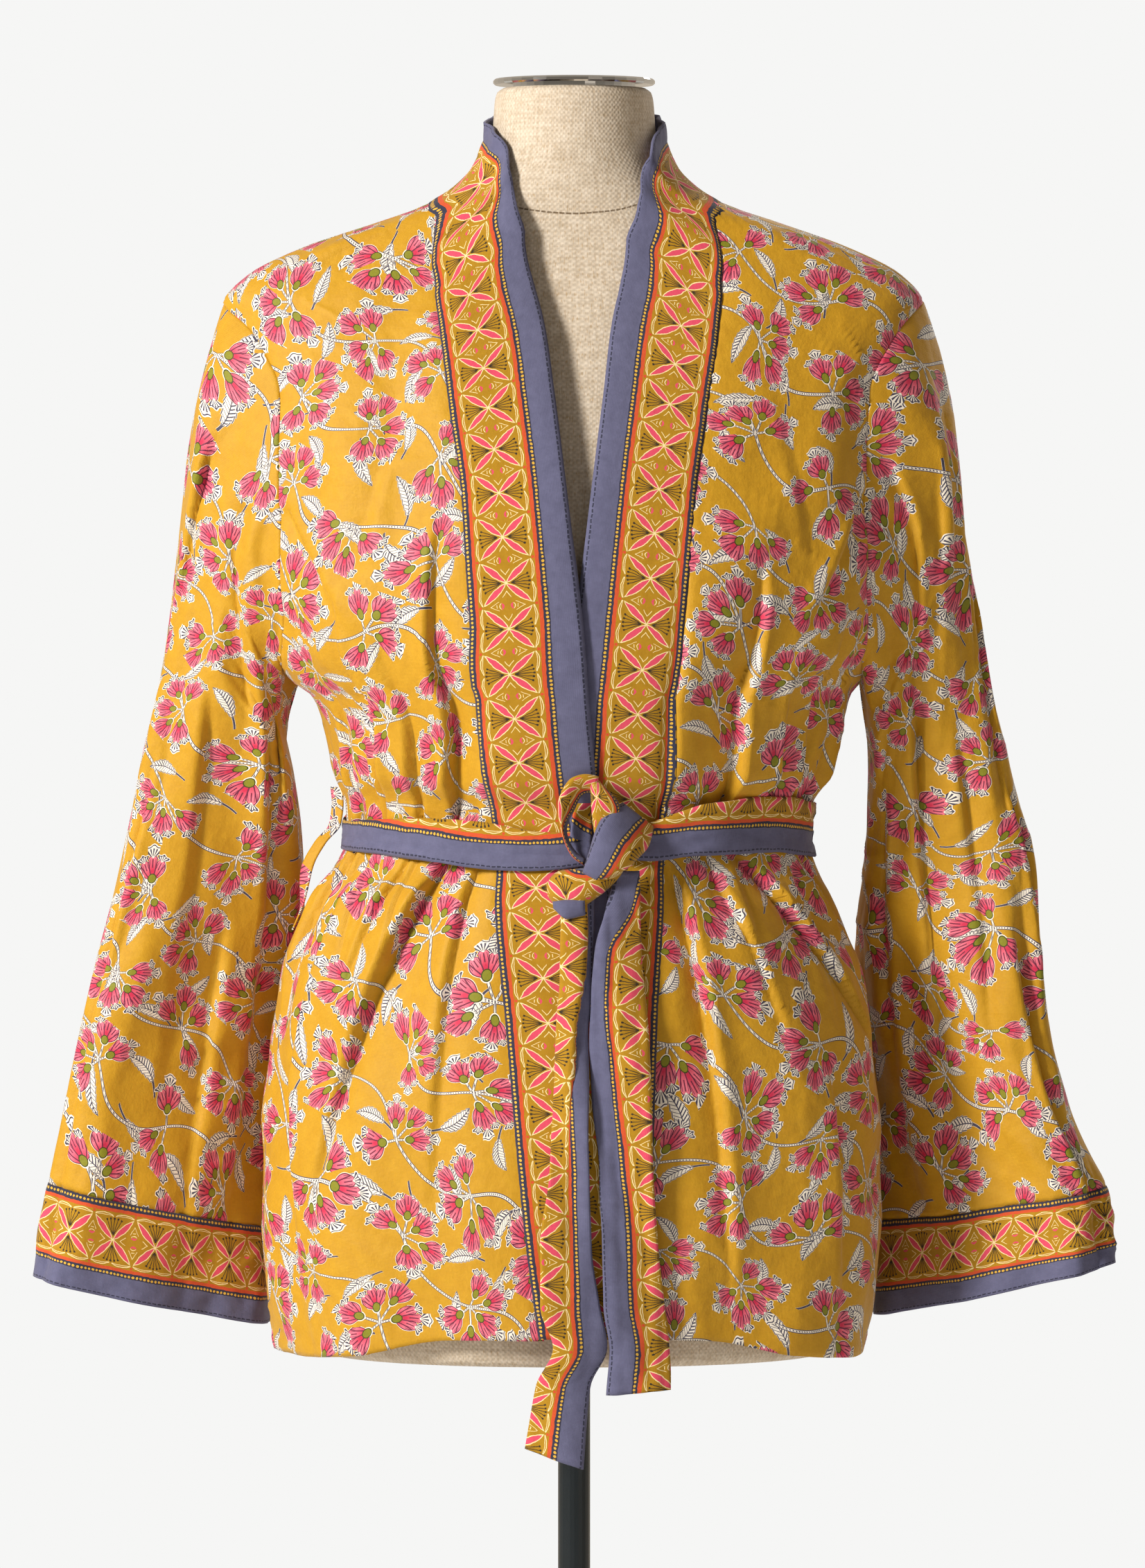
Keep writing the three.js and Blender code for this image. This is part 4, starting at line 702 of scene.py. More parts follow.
    # leaves lie in a finer lattice under the blossoms, each turned its own way
    leaf, leaf_id, _, _ = cell(LEAF_PITCH, 0.37)
    leaf_chance = add(tree, "TexWhiteNoise", {0: leaf_id}, noise_dimensions="3D")
    leaf = add(tree, "VectorRotate", {0: leaf, "Angle": ("MULTIPLY", leaf_chance, 2 * PI)}, rotation_type="Z_AXIS")
    leaf_x, leaf_up, _ = add(tree, "SeparateXYZ", [leaf]).node.outputs
    squared = add(tree, "Math MULTIPLY", [leaf_x, leaf_x])
    bent_y = add(tree, "Math MULTIPLY_ADD", [squared, -0.018, leaf_up])
    leaf_y = add(tree, "Math ABSOLUTE", [bent_y])
    saw = add(tree, "Math FRACT", [("MULTIPLY", leaf_x, 0.3)])
    taper = add(tree, "Math MULTIPLY_ADD", [squared, -0.0256, 4.0])
    margin = add(tree, "Math MULTIPLY_ADD", [saw, 0.7, ("SUBTRACT", leaf_y, taper)])
    # its stalk runs on from one end
    stalk_end = add(tree, "Math MULTIPLY_ADD", [("COMPARE", leaf_x, -14.5, 4.0), -9.0, 8.7])
    margin = add(tree, "Math MINIMUM", [margin, ("ADD", leaf_y, stalk_end)])
    leaf_here = add(tree, "Math LESS_THAN", [leaf_chance, 0.85])
    leaf_white = add(tree, "Math MULTIPLY", [("LESS_THAN", margin, 0.5), leaf_here])
    vein = add(tree, "Math FRACT", [("MULTIPLY_ADD", leaf_x, 0.5, ("MULTIPLY", leaf_y, -0.42))])
    # the lower half of a leaf carries heavier strokes than the upper one
    heavy = add(tree, "Math MULTIPLY_ADD", [("LESS_THAN", bent_y, 0.0), 0.2, 0.2])
    vein = add(tree, "Math LESS_THAN", [vein, heavy])
    midrib = add(tree, "Math LESS_THAN", [leaf_y, 0.26])
    rim = add(tree, "Math COMPARE", [margin, 0.12, 0.24])
    vein = add(tree, "Math MULTIPLY", [vein, ("LESS_THAN", margin, -0.3)])
    leaf_ink = add(tree, "Math MAXIMUM", [("MAXIMUM", vein, midrib), rim])

    # the dyed ground is a little uneven
    blotch = add(tree, "TexNoise", {0: cloth, "Scale": 1 / 9, "Detail": 3.0}, noise_dimensions="2D")
    tint = overprinted(tree, colour(GROUND_LOW), (GROUND_HIGH, blotch), (WHITE, leaf_white),
                       (INK, ("MULTIPLY", leaf_ink, leaf_white)), (WHITE, stem_white),
                       (INK, ("MULTIPLY", stem_ink, stem_white)))
    return add(tree, "Mix", {0: has_flower, 6: tint, 7: flower.outputs[0]}, output=2, data_type="RGBA")


def finish_cotton(tree, principled, cloth, tint, depth=0.25):
    """Woven cotton: threads show as a fine grain in colour and relief, over soft small creases."""
    threads = add(tree, "Math MULTIPLY", [
        add(tree, "TexWave", {0: cloth, "Scale": 0.36, "Distortion": 1.2, "Detail": 1.0}, output=1,
            bands_direction=way) for way in "XY"])
    slub = add(tree, "TexNoise", {0: cloth, "Scale": 0.55, "Detail": 3.0}, noise_dimensions="2D")
    grain = add(tree, "Math ADD", [threads, slub])
    shade = add(tree, "MapRange", {0: grain, 1: 0.3, 2: 1.3, 3: 0.9, 4: 1.06})
    tint = add(tree, "VectorMath SCALE", {0: tint, "Scale": shade})
    tree.links.new(tint, principled.inputs["Base Color"])
    rumple = add(tree, "TexNoise", {0: cloth, "Scale": 1 / 13, "Detail": 4.0, "Roughness": 0.55},
                 noise_dimensions="2D")
    small = add(tree, "Bump", {"Strength": 0.18, "Distance": 0.4 * MM, "Height": grain})
    bump = add(tree, "Bump", {"Strength": depth, "Distance": 4.0 * MM, "Height": rumple, "Normal": small})
    tree.links.new(bump, principled.inputs["Normal"])


def printed_cotton(reverse=False):
    """Block-printed cotton with a faint satin gloss; its wrong side shows the print paler, as dye soaks through."""
    material, tree, principled = new_material(
        "Block-printed cotton wrong side" if reverse else "Block-printed cotton", Roughness=0.62,
        Specular_IOR_Level=0.36, Sheen_Weight=0.15, Sheen_Roughness=0.4)
    cloth = add(tree, "UVMap", uv_map="Cloth")
    tint = cotton_print(tree, cloth)
    if reverse:
        tint = overprinted(tree, tint, ("#D9AE4A", 0.45))
    finish_cotton(tree, principled, cloth, tint)
    return material


MOTIF = 27.6  # the border's repeat along the strip
BAND_FROM, BAND_TO = 6.4, 43.0
SLATE_FROM = 48.8
# The two dark lines of dots along the strip: from, to, the dots' middle, their pitch and the square of their radius
DOT_LINES = ((0.0, 4.4, 2.0, 2.5, 0.62), (45.2, SLATE_FROM, 47.3, 2.4, 0.66))


def border_cotton():
    """The border strip: dotted lines, a band of crossed petals and stamens, and a slate edge with a top stitch."""
    material, tree, principled = new_material(
        "Border-printed cotton", Roughness=0.82, Specular_IOR_Level=0.25, Sheen_Weight=0.12, Sheen_Roughness=0.5)
    cloth = add(tree, "UVMap", uv_map="Cloth")
    # the block's edges are a little uneven
    waver = add(tree, "TexNoise", {0: cloth, "Scale": 1 / 4, "Detail": 1.0}, output=1, noise_dimensions="2D")
    waver = add(tree, "VectorMath SUBTRACT", [waver, (0.5, 0.5, 0.5)])
    place = add(tree, "VectorMath MULTIPLY_ADD", {0: waver, 1: (0.8, 0.8, 0), 2: cloth})
    u, v, _ = add(tree, "SeparateXYZ", [place]).node.outputs

    def folded(value, period):
        """The distance to the nearest multiple of the period."""
        share = add(tree, "Math ABSOLUTE", [("SUBTRACT", ("FRACT", ("MULTIPLY_ADD", value, 1 / period, 0.5)), 0.5)])
        return add(tree, "Math MULTIPLY", [share, period])

    def between(value, low, high):
        """1 where the value is between low and high."""
        return add(tree, "Math COMPARE", [value, (low + high) / 2, (high - low) / 2])

    def both(*parts):
        """1 where all of these are."""
        return reduce(lambda total, part: add(tree, "Math MULTIPLY", [total, part]), parts)

    def either(*parts):
        """1 where any of these is."""
        return reduce(lambda total, part: add(tree, "Math MAXIMUM", [total, part]), parts)

    s = folded(u, MOTIF)
    half = (BAND_TO - BAND_FROM) / 2
    t = add(tree, "Math ABSOLUTE", [("SUBTRACT", v, (BAND_FROM + BAND_TO) / 2)])
    corner = add(tree, "CombineXYZ", [s, t])
    # four pointed petals cross at the motif's middle
    petal_at = add(tree, "Mapping", {0: corner, "Location": (6.3, 7.3, 0), "Rotation": (0, 0, math.radians(49.5))},
                   vector_type="TEXTURE")
    petal_x, petal_y, _ = add(tree, "SeparateXYZ", [petal_at]).node.outputs
    petal_wide = add(tree, "Math MULTIPLY_ADD", [("POWER", petal_x, 2.0), 1.9 / 9.3 ** 2, ("ABSOLUTE", petal_y)])
    # stamens fan out from the motif's middle towards the band's edges and end in dots
    from_foot = add(tree, "Math SUBTRACT", [t, 2.7])
    fan = add(tree, "Math ARCTAN2", [s, from_foot])
    reach = add(tree, "VectorMath LENGTH", [add(tree, "CombineXYZ", [s, from_foot])], output=1)
    thin = add(tree, "Math MULTIPLY", [folded(fan, 0.21), reach])
    lines = both(("LESS_THAN", thin, 0.24), between(reach, 0.4, 11.2))
    line_ends = both(("LESS_THAN", thin, 0.6), between(reach, 10.9, 12.1))
    stamens = both(either(lines, line_ends), ("LESS_THAN", fan, 0.53))
    # between the motifs: a pair of crescents, short strokes beside them and a long open diamond round them
    past = add(tree, "Math ABSOLUTE", [("SUBTRACT", s, MOTIF / 2)])
    past_squared = add(tree, "Math POWER", [past, 2.0])
    bulge = add(tree, "Math MULTIPLY_ADD", [past_squared, -0.34, t])
    crescent = both(between(bulge, 1.9, 3.2), between(t, 1.9, 3.5))
    strokes = both(between(("MULTIPLY_ADD", past_squared, 0.3, t), 4.5, 5.0), ("LESS_THAN", past, 1.8))
    strokes = either(strokes, both(between(t, 6.2, 6.6), ("LESS_THAN", past, 1.0)))
    diamond = add(tree, "Math MULTIPLY_ADD", [past, 2.0, t])
    diamond = both(between(diamond, 10.2, 10.9), ("GREATER_THAN", t, 5.2))
    chevron = both(between(("MULTIPLY_ADD", t, -1.25, s), 4.7, 5.35), ("LESS_THAN", t, 2.7))
    # double arcs along both edges of the band, two to a motif, with an orange dot between the motifs
    arc_s = folded(("ADD", u, MOTIF / 4), MOTIF / 2)
    arc_squared = add(tree, "Math POWER", [arc_s, 2.0])
    outer_arc = between(("MULTIPLY_ADD", arc_squared, 0.045, t), half - 1.2, half - 0.7)
    inner_arc = between(("MULTIPLY_ADD", arc_squared, 0.02, t), half - 2.3, half - 1.95)
    arcs = both(either(outer_arc, inner_arc), ("LESS_THAN", arc_s, 6.1))
    foot = add(tree, "Math LESS_THAN", [("ADD", ("POWER", ("SUBTRACT", t, half - 1.1), 2.0), past_squared), 0.8])
    blotch = add(tree, "TexNoise", {0: cloth, "Scale": 1 / 7, "Detail": 3.0}, noise_dimensions="2D")
    tint = overprinted(tree, colour(BAND_LOW), (BAND_HIGH, blotch))
    in_band = between(v, BAND_FROM, BAND_TO)
    for code, where in ((CORAL, ("LESS_THAN", petal_wide, 1.9)),
                        (CREAM, either(between(petal_wide, 1.7, 2.25), strokes, diamond, chevron, arcs)),
                        (CORAL, crescent), (ORANGE, foot), (BROWN, stamens)):
        tint = overprinted(tree, tint, (code, both(where, in_band)))
    tint = overprinted(tree, tint, (ORANGE, between(v, DOT_LINES[0][1], BAND_FROM)),
                       (ORANGE, between(v, BAND_TO, DOT_LINES[1][0])))
    for low, high, middle, pitch, size in DOT_LINES:
        along = add(tree, "Math POWER", [folded(u, pitch), 2.0])
        off = add(tree, "Math POWER", [("SUBTRACT", v, middle), 2.0])
        dot = add(tree, "Math LESS_THAN", [("ADD", along, off), size])
        tint = overprinted(tree, tint, (NIGHT, between(v, low, high)), (DOT_YELLOW, dot))
    slate = add(tree, "Math GREATER_THAN", [v, SLATE_FROM])
    faded = overprinted(tree, colour(SLATE_LOW), (SLATE_HIGH, blotch))
    tint = add(tree, "Mix", {0: slate, 6: tint, 7: faded}, output=2, data_type="RGBA")
    stitch = both(between(v, STRIP_WIDE - 2.3, STRIP_WIDE - 1.5), ("LESS_THAN", folded(u, 3.2), 1.15))
    tint = overprinted(tree, tint, (NIGHT, stitch))
    finish_cotton(tree, principled, cloth, tint, depth=0.18)
    return material


NECK_SEAM_Z, NECK_SEAM_CURVE = 1416, 0.0042


def linen():
    """Natural linen glued over the form: a coarse basket weave with darker flecks, quite matt."""
    material, tree, principled = new_material("Natural linen", Roughness=0.9, Specular_IOR_Level=0.2,
                                              Sheen_Weight=0.1)
    cloth = add(tree, "UVMap", uv_map="Cloth")
    waver = add(tree, "TexNoise", {0: cloth, "Scale": 0.05, "Detail": 1.0}, output=1, noise_dimensions="2D")
    place = add(tree, "VectorMath MULTIPLY_ADD", {0: waver, 1: (1.2, 1.2, 0), 2: cloth})
    # the threads are about 1.1 mm apart and are drawn 1.6 mm apart so that they show
    across, up, _ = add(tree, "SeparateXYZ", [place]).node.outputs
    rise = 2 * PI / 3.2
    weave = add(tree, "Math MULTIPLY", [("SINE", ("MULTIPLY", across, rise)), ("SINE", ("MULTIPLY", up, rise))])
    long_up, long_across = (add(tree, "Mapping", {0: cloth, "Scale": scale})
                            for scale in ((0.9, 0.12, 1), (0.12, 0.9, 1)))
    slubs = add(tree, "Math ADD", [add(tree, "TexNoise", {0: way, "Scale": 0.6, "Detail": 2.0}, noise_dimensions="2D")
                                   for way in (long_up, long_across)])
    tone = add(tree, "MapRange", {0: slubs, 1: 0.7, 2: 1.3, 3: 0.0, 4: 1.0})
    fleck = add(tree, "TexNoise", {0: long_up, "Scale": 2.2, "Detail": 1.0}, noise_dimensions="2D")
    fleck = add(tree, "MapRange", {0: fleck, 1: 0.62, 2: 0.7, 3: 0.0, 4: 0.4})
    tint = overprinted(tree, colour("#C1B3A1"), ("#DACFC1", tone), ("#A9823F", fleck))
    shade = add(tree, "MapRange", {0: weave, 1: -1.0, 3: 0.87, 4: 1.09})
    tint = add(tree, "VectorMath SCALE", {0: tint, "Scale": shade})
    # the neck is sewn on along a low curve: a dark stitched line
    sag = add(tree, "Math MULTIPLY_ADD", [("POWER", across, 2.0), -NECK_SEAM_CURVE, up])
    seam = add(tree, "Math COMPARE", [sag, NECK_SEAM_Z, 0.55])
    dash = add(tree, "Math LESS_THAN", [("FRACT", ("MULTIPLY", across, 0.3)), 0.75])
    seam = add(tree, "Math MULTIPLY", [seam, ("MULTIPLY_ADD", dash, 0.55, 0.25)])
    tint = overprinted(tree, tint, ("#5D4A33", seam))
    tree.links.new(tint, principled.inputs["Base Color"])
    height = add(tree, "Math MULTIPLY_ADD", [weave, 0.5, slubs])
    tree.links.new(add(tree, "Bump", {"Strength": 0.4, "Distance": 0.5 * MM, "Height": height}),
                   principled.inputs["Normal"])
    return material


def chrome():
    """Polished chrome plate: a mirror with faint wiping marks."""
    material, tree, principled = new_material("Polished chrome", Metallic=1.0, Roughness=0.07)
    principled.inputs["Base Color"].default_value = colour("#D2D4D6")
    place = add(tree, "TexCoord", output=3)
    wipes = add(tree, "TexNoise", {0: place, "Scale": 60.0, "Detail": 3.0})
    tree.links.new(add(tree, "MapRange", {0: wipes, 3: 0.05, 4: 0.12}), principled.inputs["Roughness"])
    return material


def lacquered_steel():
    """Steel in black lacquer: smooth with a faint orange peel and soft highlights."""
    material, tree, principled = new_material("Black lacquered steel", Roughness=0.26, Specular_IOR_Level=0.5)
    place = add(tree, "TexCoord", output=3)
    dust = add(tree, "TexNoise", {0: place, "Scale": 25.0, "Detail": 4.0})
    tint = overprinted(tree, colour("#0F171B"), ("#18222A", dust))
    tree.links.new(tint, principled.inputs["Base Color"])
    peel = add(tree, "TexNoise", {0: place, "Scale": 900.0, "Detail": 1.0})
    tree.links.new(add(tree, "Bump", {"Strength": 0.08, "Distance": 0.2 * MM, "Height": peel}),
                   principled.inputs["Normal"])
    return material


blossom_group()
PRINTED = [printed_cotton(), printed_cotton(reverse=True)]
BORDER = [border_cotton()]
LINEN = linen()
CHROME = chrome()
LACQUER = lacquered_steel()

PANEL_LEVELS = np.linspace(HEM_Z, NECK_POINT_Z, 216)
UNDER_BAND = 5.5  # how much higher than the neck point the panels' tops run, under the collar band


def collar_path(side):
    """Turns and heights of the collar's two edges by the length along it, on one side."""
    front = COLLAR_RIGHT if side < 0 else COLLAR_LEFT
    path = {"along": np.concatenate([front["along"], COLLAR_NECK["along"]])}
    for edge in ("outer", "inner"):
        turns = turn_at(front[edge + "_x"], front[edge + "_z"])
        path[edge + "_turn"] = np.concatenate([turns, side * COLLAR_NECK["turn"]])
        path[edge + "_z"] = np.concatenate([front[edge + "_z"], COLLAR_NECK[edge + "_z"]])
    return path


PATHS = {side: collar_path(side) for side in (-1, 1)}


def hem_and_seams(grid, across, width):
    """The panel's hem is turned twice and stitched, and its sides dip into their seams."""
    up = lengths(grid, 0)
    sideways = np.minimum(across, 1 - across) * width
    turned = 0.5 * (1 - smooth(up, 9, 11)) + seam_dip(up - 10, 0.35, 1.6)
    return grid + normals(grid) * (turned + seam_dip(sideways))[..., None]


def under_band():
    """The extra height of a panel's top, which runs on under the collar band."""
    return UNDER_BAND * smooth(PANEL_LEVELS, NECK_POINT_Z - 14, NECK_POINT_Z)[:, None]


def tucked(grid):
    """A panel with its top edge laid in under the collar band."""
    return grid - normals(grid) * (0.9 * smooth(PANEL_LEVELS, NECK_POINT_Z - 3, NECK_POINT_Z))[:, None, None]


def front_panel(side):
    """A front from its collar seam to its side seam and armhole."""
    across = shares(92, FRONT_WIDE)
    seam_z = with_hem(PANEL_LEVELS, HEM_FLAT_TURN)
    inner = curve(PATHS[side], "outer_z", seam_z, "outer_turn") - side * 0.8
    outer = side * panel_edge(PANEL_LEVELS, SHOULDER_FORWARD)
    turn = mix(outer[:, None], inner[:, None], across) if side < 0 else mix(inner[:, None], outer[:, None], across)
    z = with_hem(PANEL_LEVELS[:, None], np.maximum(np.abs(turn), HEM_FLAT_TURN)) + under_band()
    lift = overlap_lift(turn) if side < 0 else 0
    return hem_and_seams(tucked(body(turn, z, lift)), across, FRONT_WIDE)


def back_panel():
    """The back, from the wearer's left side round to the right one."""
    across = shares(176, BACK_WIDE)
    edge = np.where(PANEL_LEVELS >= TIP_Z, panel_edge(PANEL_LEVELS, SHOULDER_FORWARD), 180 - panel_edge(PANEL_LEVELS))
    turn = mix(edge[:, None], 360 - edge[:, None], across)
    middle = np.sin(np.radians(turn - 90)) ** 2 * (np.abs(turn - 180) < 90)
    rise = BACK_NECK_RISE * smooth(PANEL_LEVELS, TIP_Z - 60, NECK_POINT_Z)[:, None] * middle
    z = with_hem(PANEL_LEVELS[:, None], 180 + 0 * turn) + rise + under_band()
    return hem_and_seams(tucked(body(wrapped(turn), z)), across, BACK_WIDE)


for side, hand in SIDES:
    grid = front_panel(side)
    cloth_piece(f"front_{hand}_cotton", grid, flat_uv(grid, shift=(side * 311, 40 + 37 * side)), CLOTH, PRINTED,
                "printed_cotton", f"front_{hand}")
grid = back_panel()
cloth_piece("back_cotton", grid, flat_uv(grid, shift=(29, 311)), CLOTH, PRINTED, "printed_cotton", "back_panel")


def collar_band(side):
    """Half of the collar band, standing a little proud of the front, puckered along its top stitches."""
    path = PATHS[side]
    along = np.linspace(0, path["along"][-1], 236)[:, None]
    share = np.linspace(0, 1, 22)
    across = share if side < 0 else share[::-1]
    turn = mix(curve(path, "along", along, "outer_turn"), curve(path, "along", along, "inner_turn"), across)
    z = mix(curve(path, "along", along, "outer_z"), curve(path, "along", along, "inner_z"), across)
    grid = body(turn, z, overlap_lift(turn) if side < 0 else 0)
    v = across * STRIP_WIDE
    from_edge = np.minimum(v, STRIP_WIDE - v)
    pucker = 0.22 * np.sin(along * 2 * PI / 9.5 + 2 * np.sin(along / 31)) * np.exp(-(from_edge / 7) ** 2)
    channel = seam_dip(v - SLATE_FROM, 0.35, 1.5) + seam_dip(v - (STRIP_WIDE - 1.8), 0.3, 1.0)
    rolled = -0.7 * np.exp(-from_edge / 1.4)
    grid = grid + normals(grid) * (pucker + channel + rolled + waves(along, v * 0.4, 80, 0.3, 41 + side))[..., None]
    uv = strip_uv(grid, across[0] * STRIP_WIDE, across[-1] * STRIP_WIDE)
    return grid, uv


for side, hand in SIDES:
    grid, uv = collar_band(side)
    cloth_piece(f"collar_{hand}_cotton", grid, uv, BAND, BORDER, "border_cotton", f"collar_band_{hand}")


def sleeve_fold(side, angle, v):
    """How far the folds move a sleeve's cloth outwards."""
    table = SLEEVE_FOLDS_RIGHT if side < 0 else SLEEVE_FOLDS_LEFT
    out = np.zeros(np.broadcast(angle, v).shape)
    for angle1, v1, angle2, v2, depth, width, lean in zip(*table.values()):
        t = np.clip((v - v1) / (v2 - v1), 0, 1)
        across = wrapped(angle - mix(angle1, angle2, t)) * MM_PER_SLEEVE_DEGREE / width
        out += depth * smooth(t, 0, 0.22) * (1 - t) ** 0.7 * pleat(across, lean)
    around, down = angle * MM_PER_SLEEVE_DEGREE, v * SLEEVE_LONG
    tilt = around * 0.8 + down * 0.45
    fade = smooth(v, 0.02, 0.12)
    out += fade * (waves(around, down * 0.45, 46, 1.0, 51 + side) + facets(around, down * 0.5, 70, 1.9, 55 + side)
                   + creases(tilt, down * 0.35, 38, 2.4, 61 + side))
    return out


def armhole_point(side, angle):
    """Points of the armhole's edge on the body at angles round the sleeve."""
    z = mix(ARMPIT_Z, TIP_Z, 0.5 + 0.5 * np.cos(np.radians(angle)))
    edge = curve(ARMHOLE, "z", z, "turn")
    turn = side * np.where(np.sin(np.radians(angle)) > 0, edge, 180 - edge)
    point = body(turn, z)
    point[..., 0] += side * 0.4
    return point


def sleeve(side, angle, v):
    """Points on a sleeve at angles round the tube, 0 at its outer edge and 90 at the front."""
    table = SLEEVE_RIGHT if side < 0 else SLEEVE_LEFT
    angle, v = np.broadcast_arrays(np.asarray(angle, float), np.asarray(v, float))
    at = {k: curve(table, "v", v, k) for k in table}
    out = np.stack([at["out_x"], at["out_y"], at["out_z"]], -1)
    inner = np.stack([at["in_x"], at["in_y"], at["in_z"]], -1)
    half = (out - inner) / 2
    c, s = np.cos(np.radians(angle))[..., None], np.sin(np.radians(angle))[..., None]
    forward = np.array([0, -1.0, 0])
    depth = at["depth"][..., None]
    point = (out + inner) / 2 + half * power(c, 2 / SQUARE) + forward * depth * power(s, 2 / SQUARE)
    point = mix(armhole_point(side, angle), point, smooth(v, 0, ARMHOLE_BLEND)[..., None])
    away = half * c / (half ** 2).sum(-1, keepdims=True) + forward * s / depth
    away /= np.linalg.norm(away, axis=-1, keepdims=True)
    return point + away * sleeve_fold(side, angle, v)[..., None]


def sleeve_grid(side, v, around):
    """A stretch of sleeve from its seam under the arm, rows from the hem up so that its face is outside."""
    angle = side * -np.linspace(-180, 180, around)
    return sleeve(side, angle[None, :], np.asarray(v)[::-1][:, None])


for side, hand in SIDES:
    v = np.concatenate([[0, 0.002, 0.005, 0.01], np.linspace(0.018, 0.9995, 160)])
    grid = sleeve_grid(side, v, 144)
    down = v[::-1][:, None] * SLEEVE_LONG
    grid = grid + normals(grid) * (seam_dip(down) + seam_dip(SLEEVE_LONG - down, 0.5))[..., None]
    cloth_piece(f"sleeve_{hand}_cotton", grid, flat_uv(grid, shift=(170 * side, 500)), CLOTH, PRINTED,
                "printed_cotton", f"sleeve_{hand}")
    v = np.linspace(1.0, CUFF_V, 24)
    grid = sleeve_grid(side, v, 120)
    uv = strip_uv(grid.transpose(1, 0, 2), STRIP_WIDE, 0).transpose(1, 0, 2)
    place = uv[..., 1]
    edge = seam_dip(place - SLATE_FROM, 0.3, 1.5) + seam_dip(place, 0.5)
    grid = grid + normals(grid) * (edge + waves(uv[..., 0], place, 30, 0.4, 71 + side))[..., None]
    cloth_piece(f"cuff_{hand}_cotton", grid, uv, BAND * 0.8, BORDER, "border_cotton", f"cuff_{hand}")


def belt_stretch(start, end, seed):
    """A stretch of the belt between two turns, drawn tight, with small pulls along it."""
    turn = np.linspace(start, end, round(abs(end - start) * 1.1) + 2)[None, :]
    share = np.linspace(0, 1, 12)[:, None]
    key = wrapped(turn)
    wide = curve(BELT, "turn", key, "wide")
    z = curve(BELT, "turn", key, "z") + (share - 0.5) * wide
    over_bands = smooth(np.cos(np.radians(key)), 0.6, 0.9) * (OVERLAP_LIFT + BAND - CLOTH + 0.4)
    point = body(key, z, BELT_CLEARANCE + over_bands, folded=False)
    pulls = waves(key * 1.9, z * 3.2, 26, 0.5, seed) - 0.8 * np.exp(-np.minimum(share, 1 - share) * wide / 1.6)
    point = point + normals(point) * pulls[..., None]
    uv = strip_uv(point.transpose(1, 0, 2), 0, 1).transpose(1, 0, 2)
    uv[..., 1] = STRIP_WIDE - share * wide
    return point, uv


for name, start, end, seed, long in (
    ("belt_right", -88, 3, 81, 0.16), ("belt_left", 9, 88, 82, 0.14), ("belt_back", 88.3, 271.7, 83, 0.38),
):
    grid, uv = belt_stretch(start, end, seed)
    cloth_piece(name + "_cotton", grid, uv, BELT_CLOTH, BORDER, "border_cotton", name)


def belt_tail(table, slant, seed):
    """A hanging end of the belt, a folded strip that bows and turns a little."""
    bottom, top = table["z"][0], table["z"][-1]
    level = np.linspace(bottom, top, 110)[:, None]
    share = np.linspace(0, 1, 26)
    x = mix(curve(table, "z", level, "x1"), curve(table, "z", level, "x2"), share)
    z = level - slant * (share - 0.5) * (1 - smooth(level, bottom, bottom + 60))
    surface = np.maximum(level, HEM_Z + 20) + 0 * share
    curl = TAIL_CURL * smooth(top - level, 4, 40) * np.sin(PI * share + level / 37)
    front = body(turn_at(x, surface), surface, folded=False)[..., 1]
    fold, before, behind = (curve(table, "z", level, k) for k in ("fold", "vf", "vb"))
    past = smooth(share, fold, fold + 0.09)
    y = front - curve(table, "z", level, "off") - curl + FOLD_STEP * np.clip((behind - before) / 8, 0, 1) * past
    grid = np.stack([x, y, z + 0 * x], -1)
    grid = grid + normals(grid) * (waves(x * 2.2, level * 0.6, 30, 0.6, seed)
                                   - 0.9 * np.exp(-np.minimum(share, 1 - share) * 22))[..., None]
    uv = strip_uv(grid, 0, 1)
    v1, v2 = curve(table, "z", level, "v1"), curve(table, "z", level, "v2")
    uv[..., 1] = np.where(share < fold + 0.03, mix(v1, before, share / fold),
                          mix(behind, v2, (share - fold) / (1 - fold)))
    return grid, uv


for name, table, slant, seed, flat in (
    ("belt_tail_right", TAIL_RIGHT, 12, 91, (0.034, 0.36)), ("belt_tail_left", TAIL_LEFT, -3, 92, (0.038, 0.33)),
):
    grid, uv = belt_tail(table, slant, seed)
    cloth_piece(name + "_cotton", grid, uv, BELT_CLOTH, BORDER, "border_cotton", name)

# The knot, each stretch by its two edges from one end to the other, with the strip's places at those edges
KNOT_COLUMNS = "x1 y1 z1 x2 y2 z2 puff v1 v2"
KNOT_BACK = 6  # the knot lies this much further back than its tables say, against the belt
KNOT_STEPS, KNOT_POINTS = 7, 13  # a stretch's mesh: steps between two rows of its table, and points across its front
KNOT_LOOP = columns(KNOT_COLUMNS, [
    (15, -128, 1073.5, 13, -122, 1063, 3.5, 24, 49), (7, -130, 1075, 8, -121, 1063, 4, 24, 49),
    (-1, -130, 1073, 4.4, -120, 1061, 4.5, 24, 49.5), (-6.8, -129, 1066, 2, -119, 1056.5, 5, 24, 50),
    (-9.8, -127, 1056.5, -0.2, -118, 1051.5, 4.8, 26, 51), (-9.2, -125, 1047, -2.8, -118, 1046.5, 3.8, 34, 54),
    (-7.6, -123, 1039, -4.4, -118, 1040.5, 3, 41, 57), (-5, -121, 1031, -3, -118, 1034.5, 2.8, 43, 58),
    (-0.3, -120, 1023.4, 1.6, -118, 1027, 2.8, 43, 58), (6, -119, 1019, 7, -118, 1022.8, 2.5, 44, 58),
])
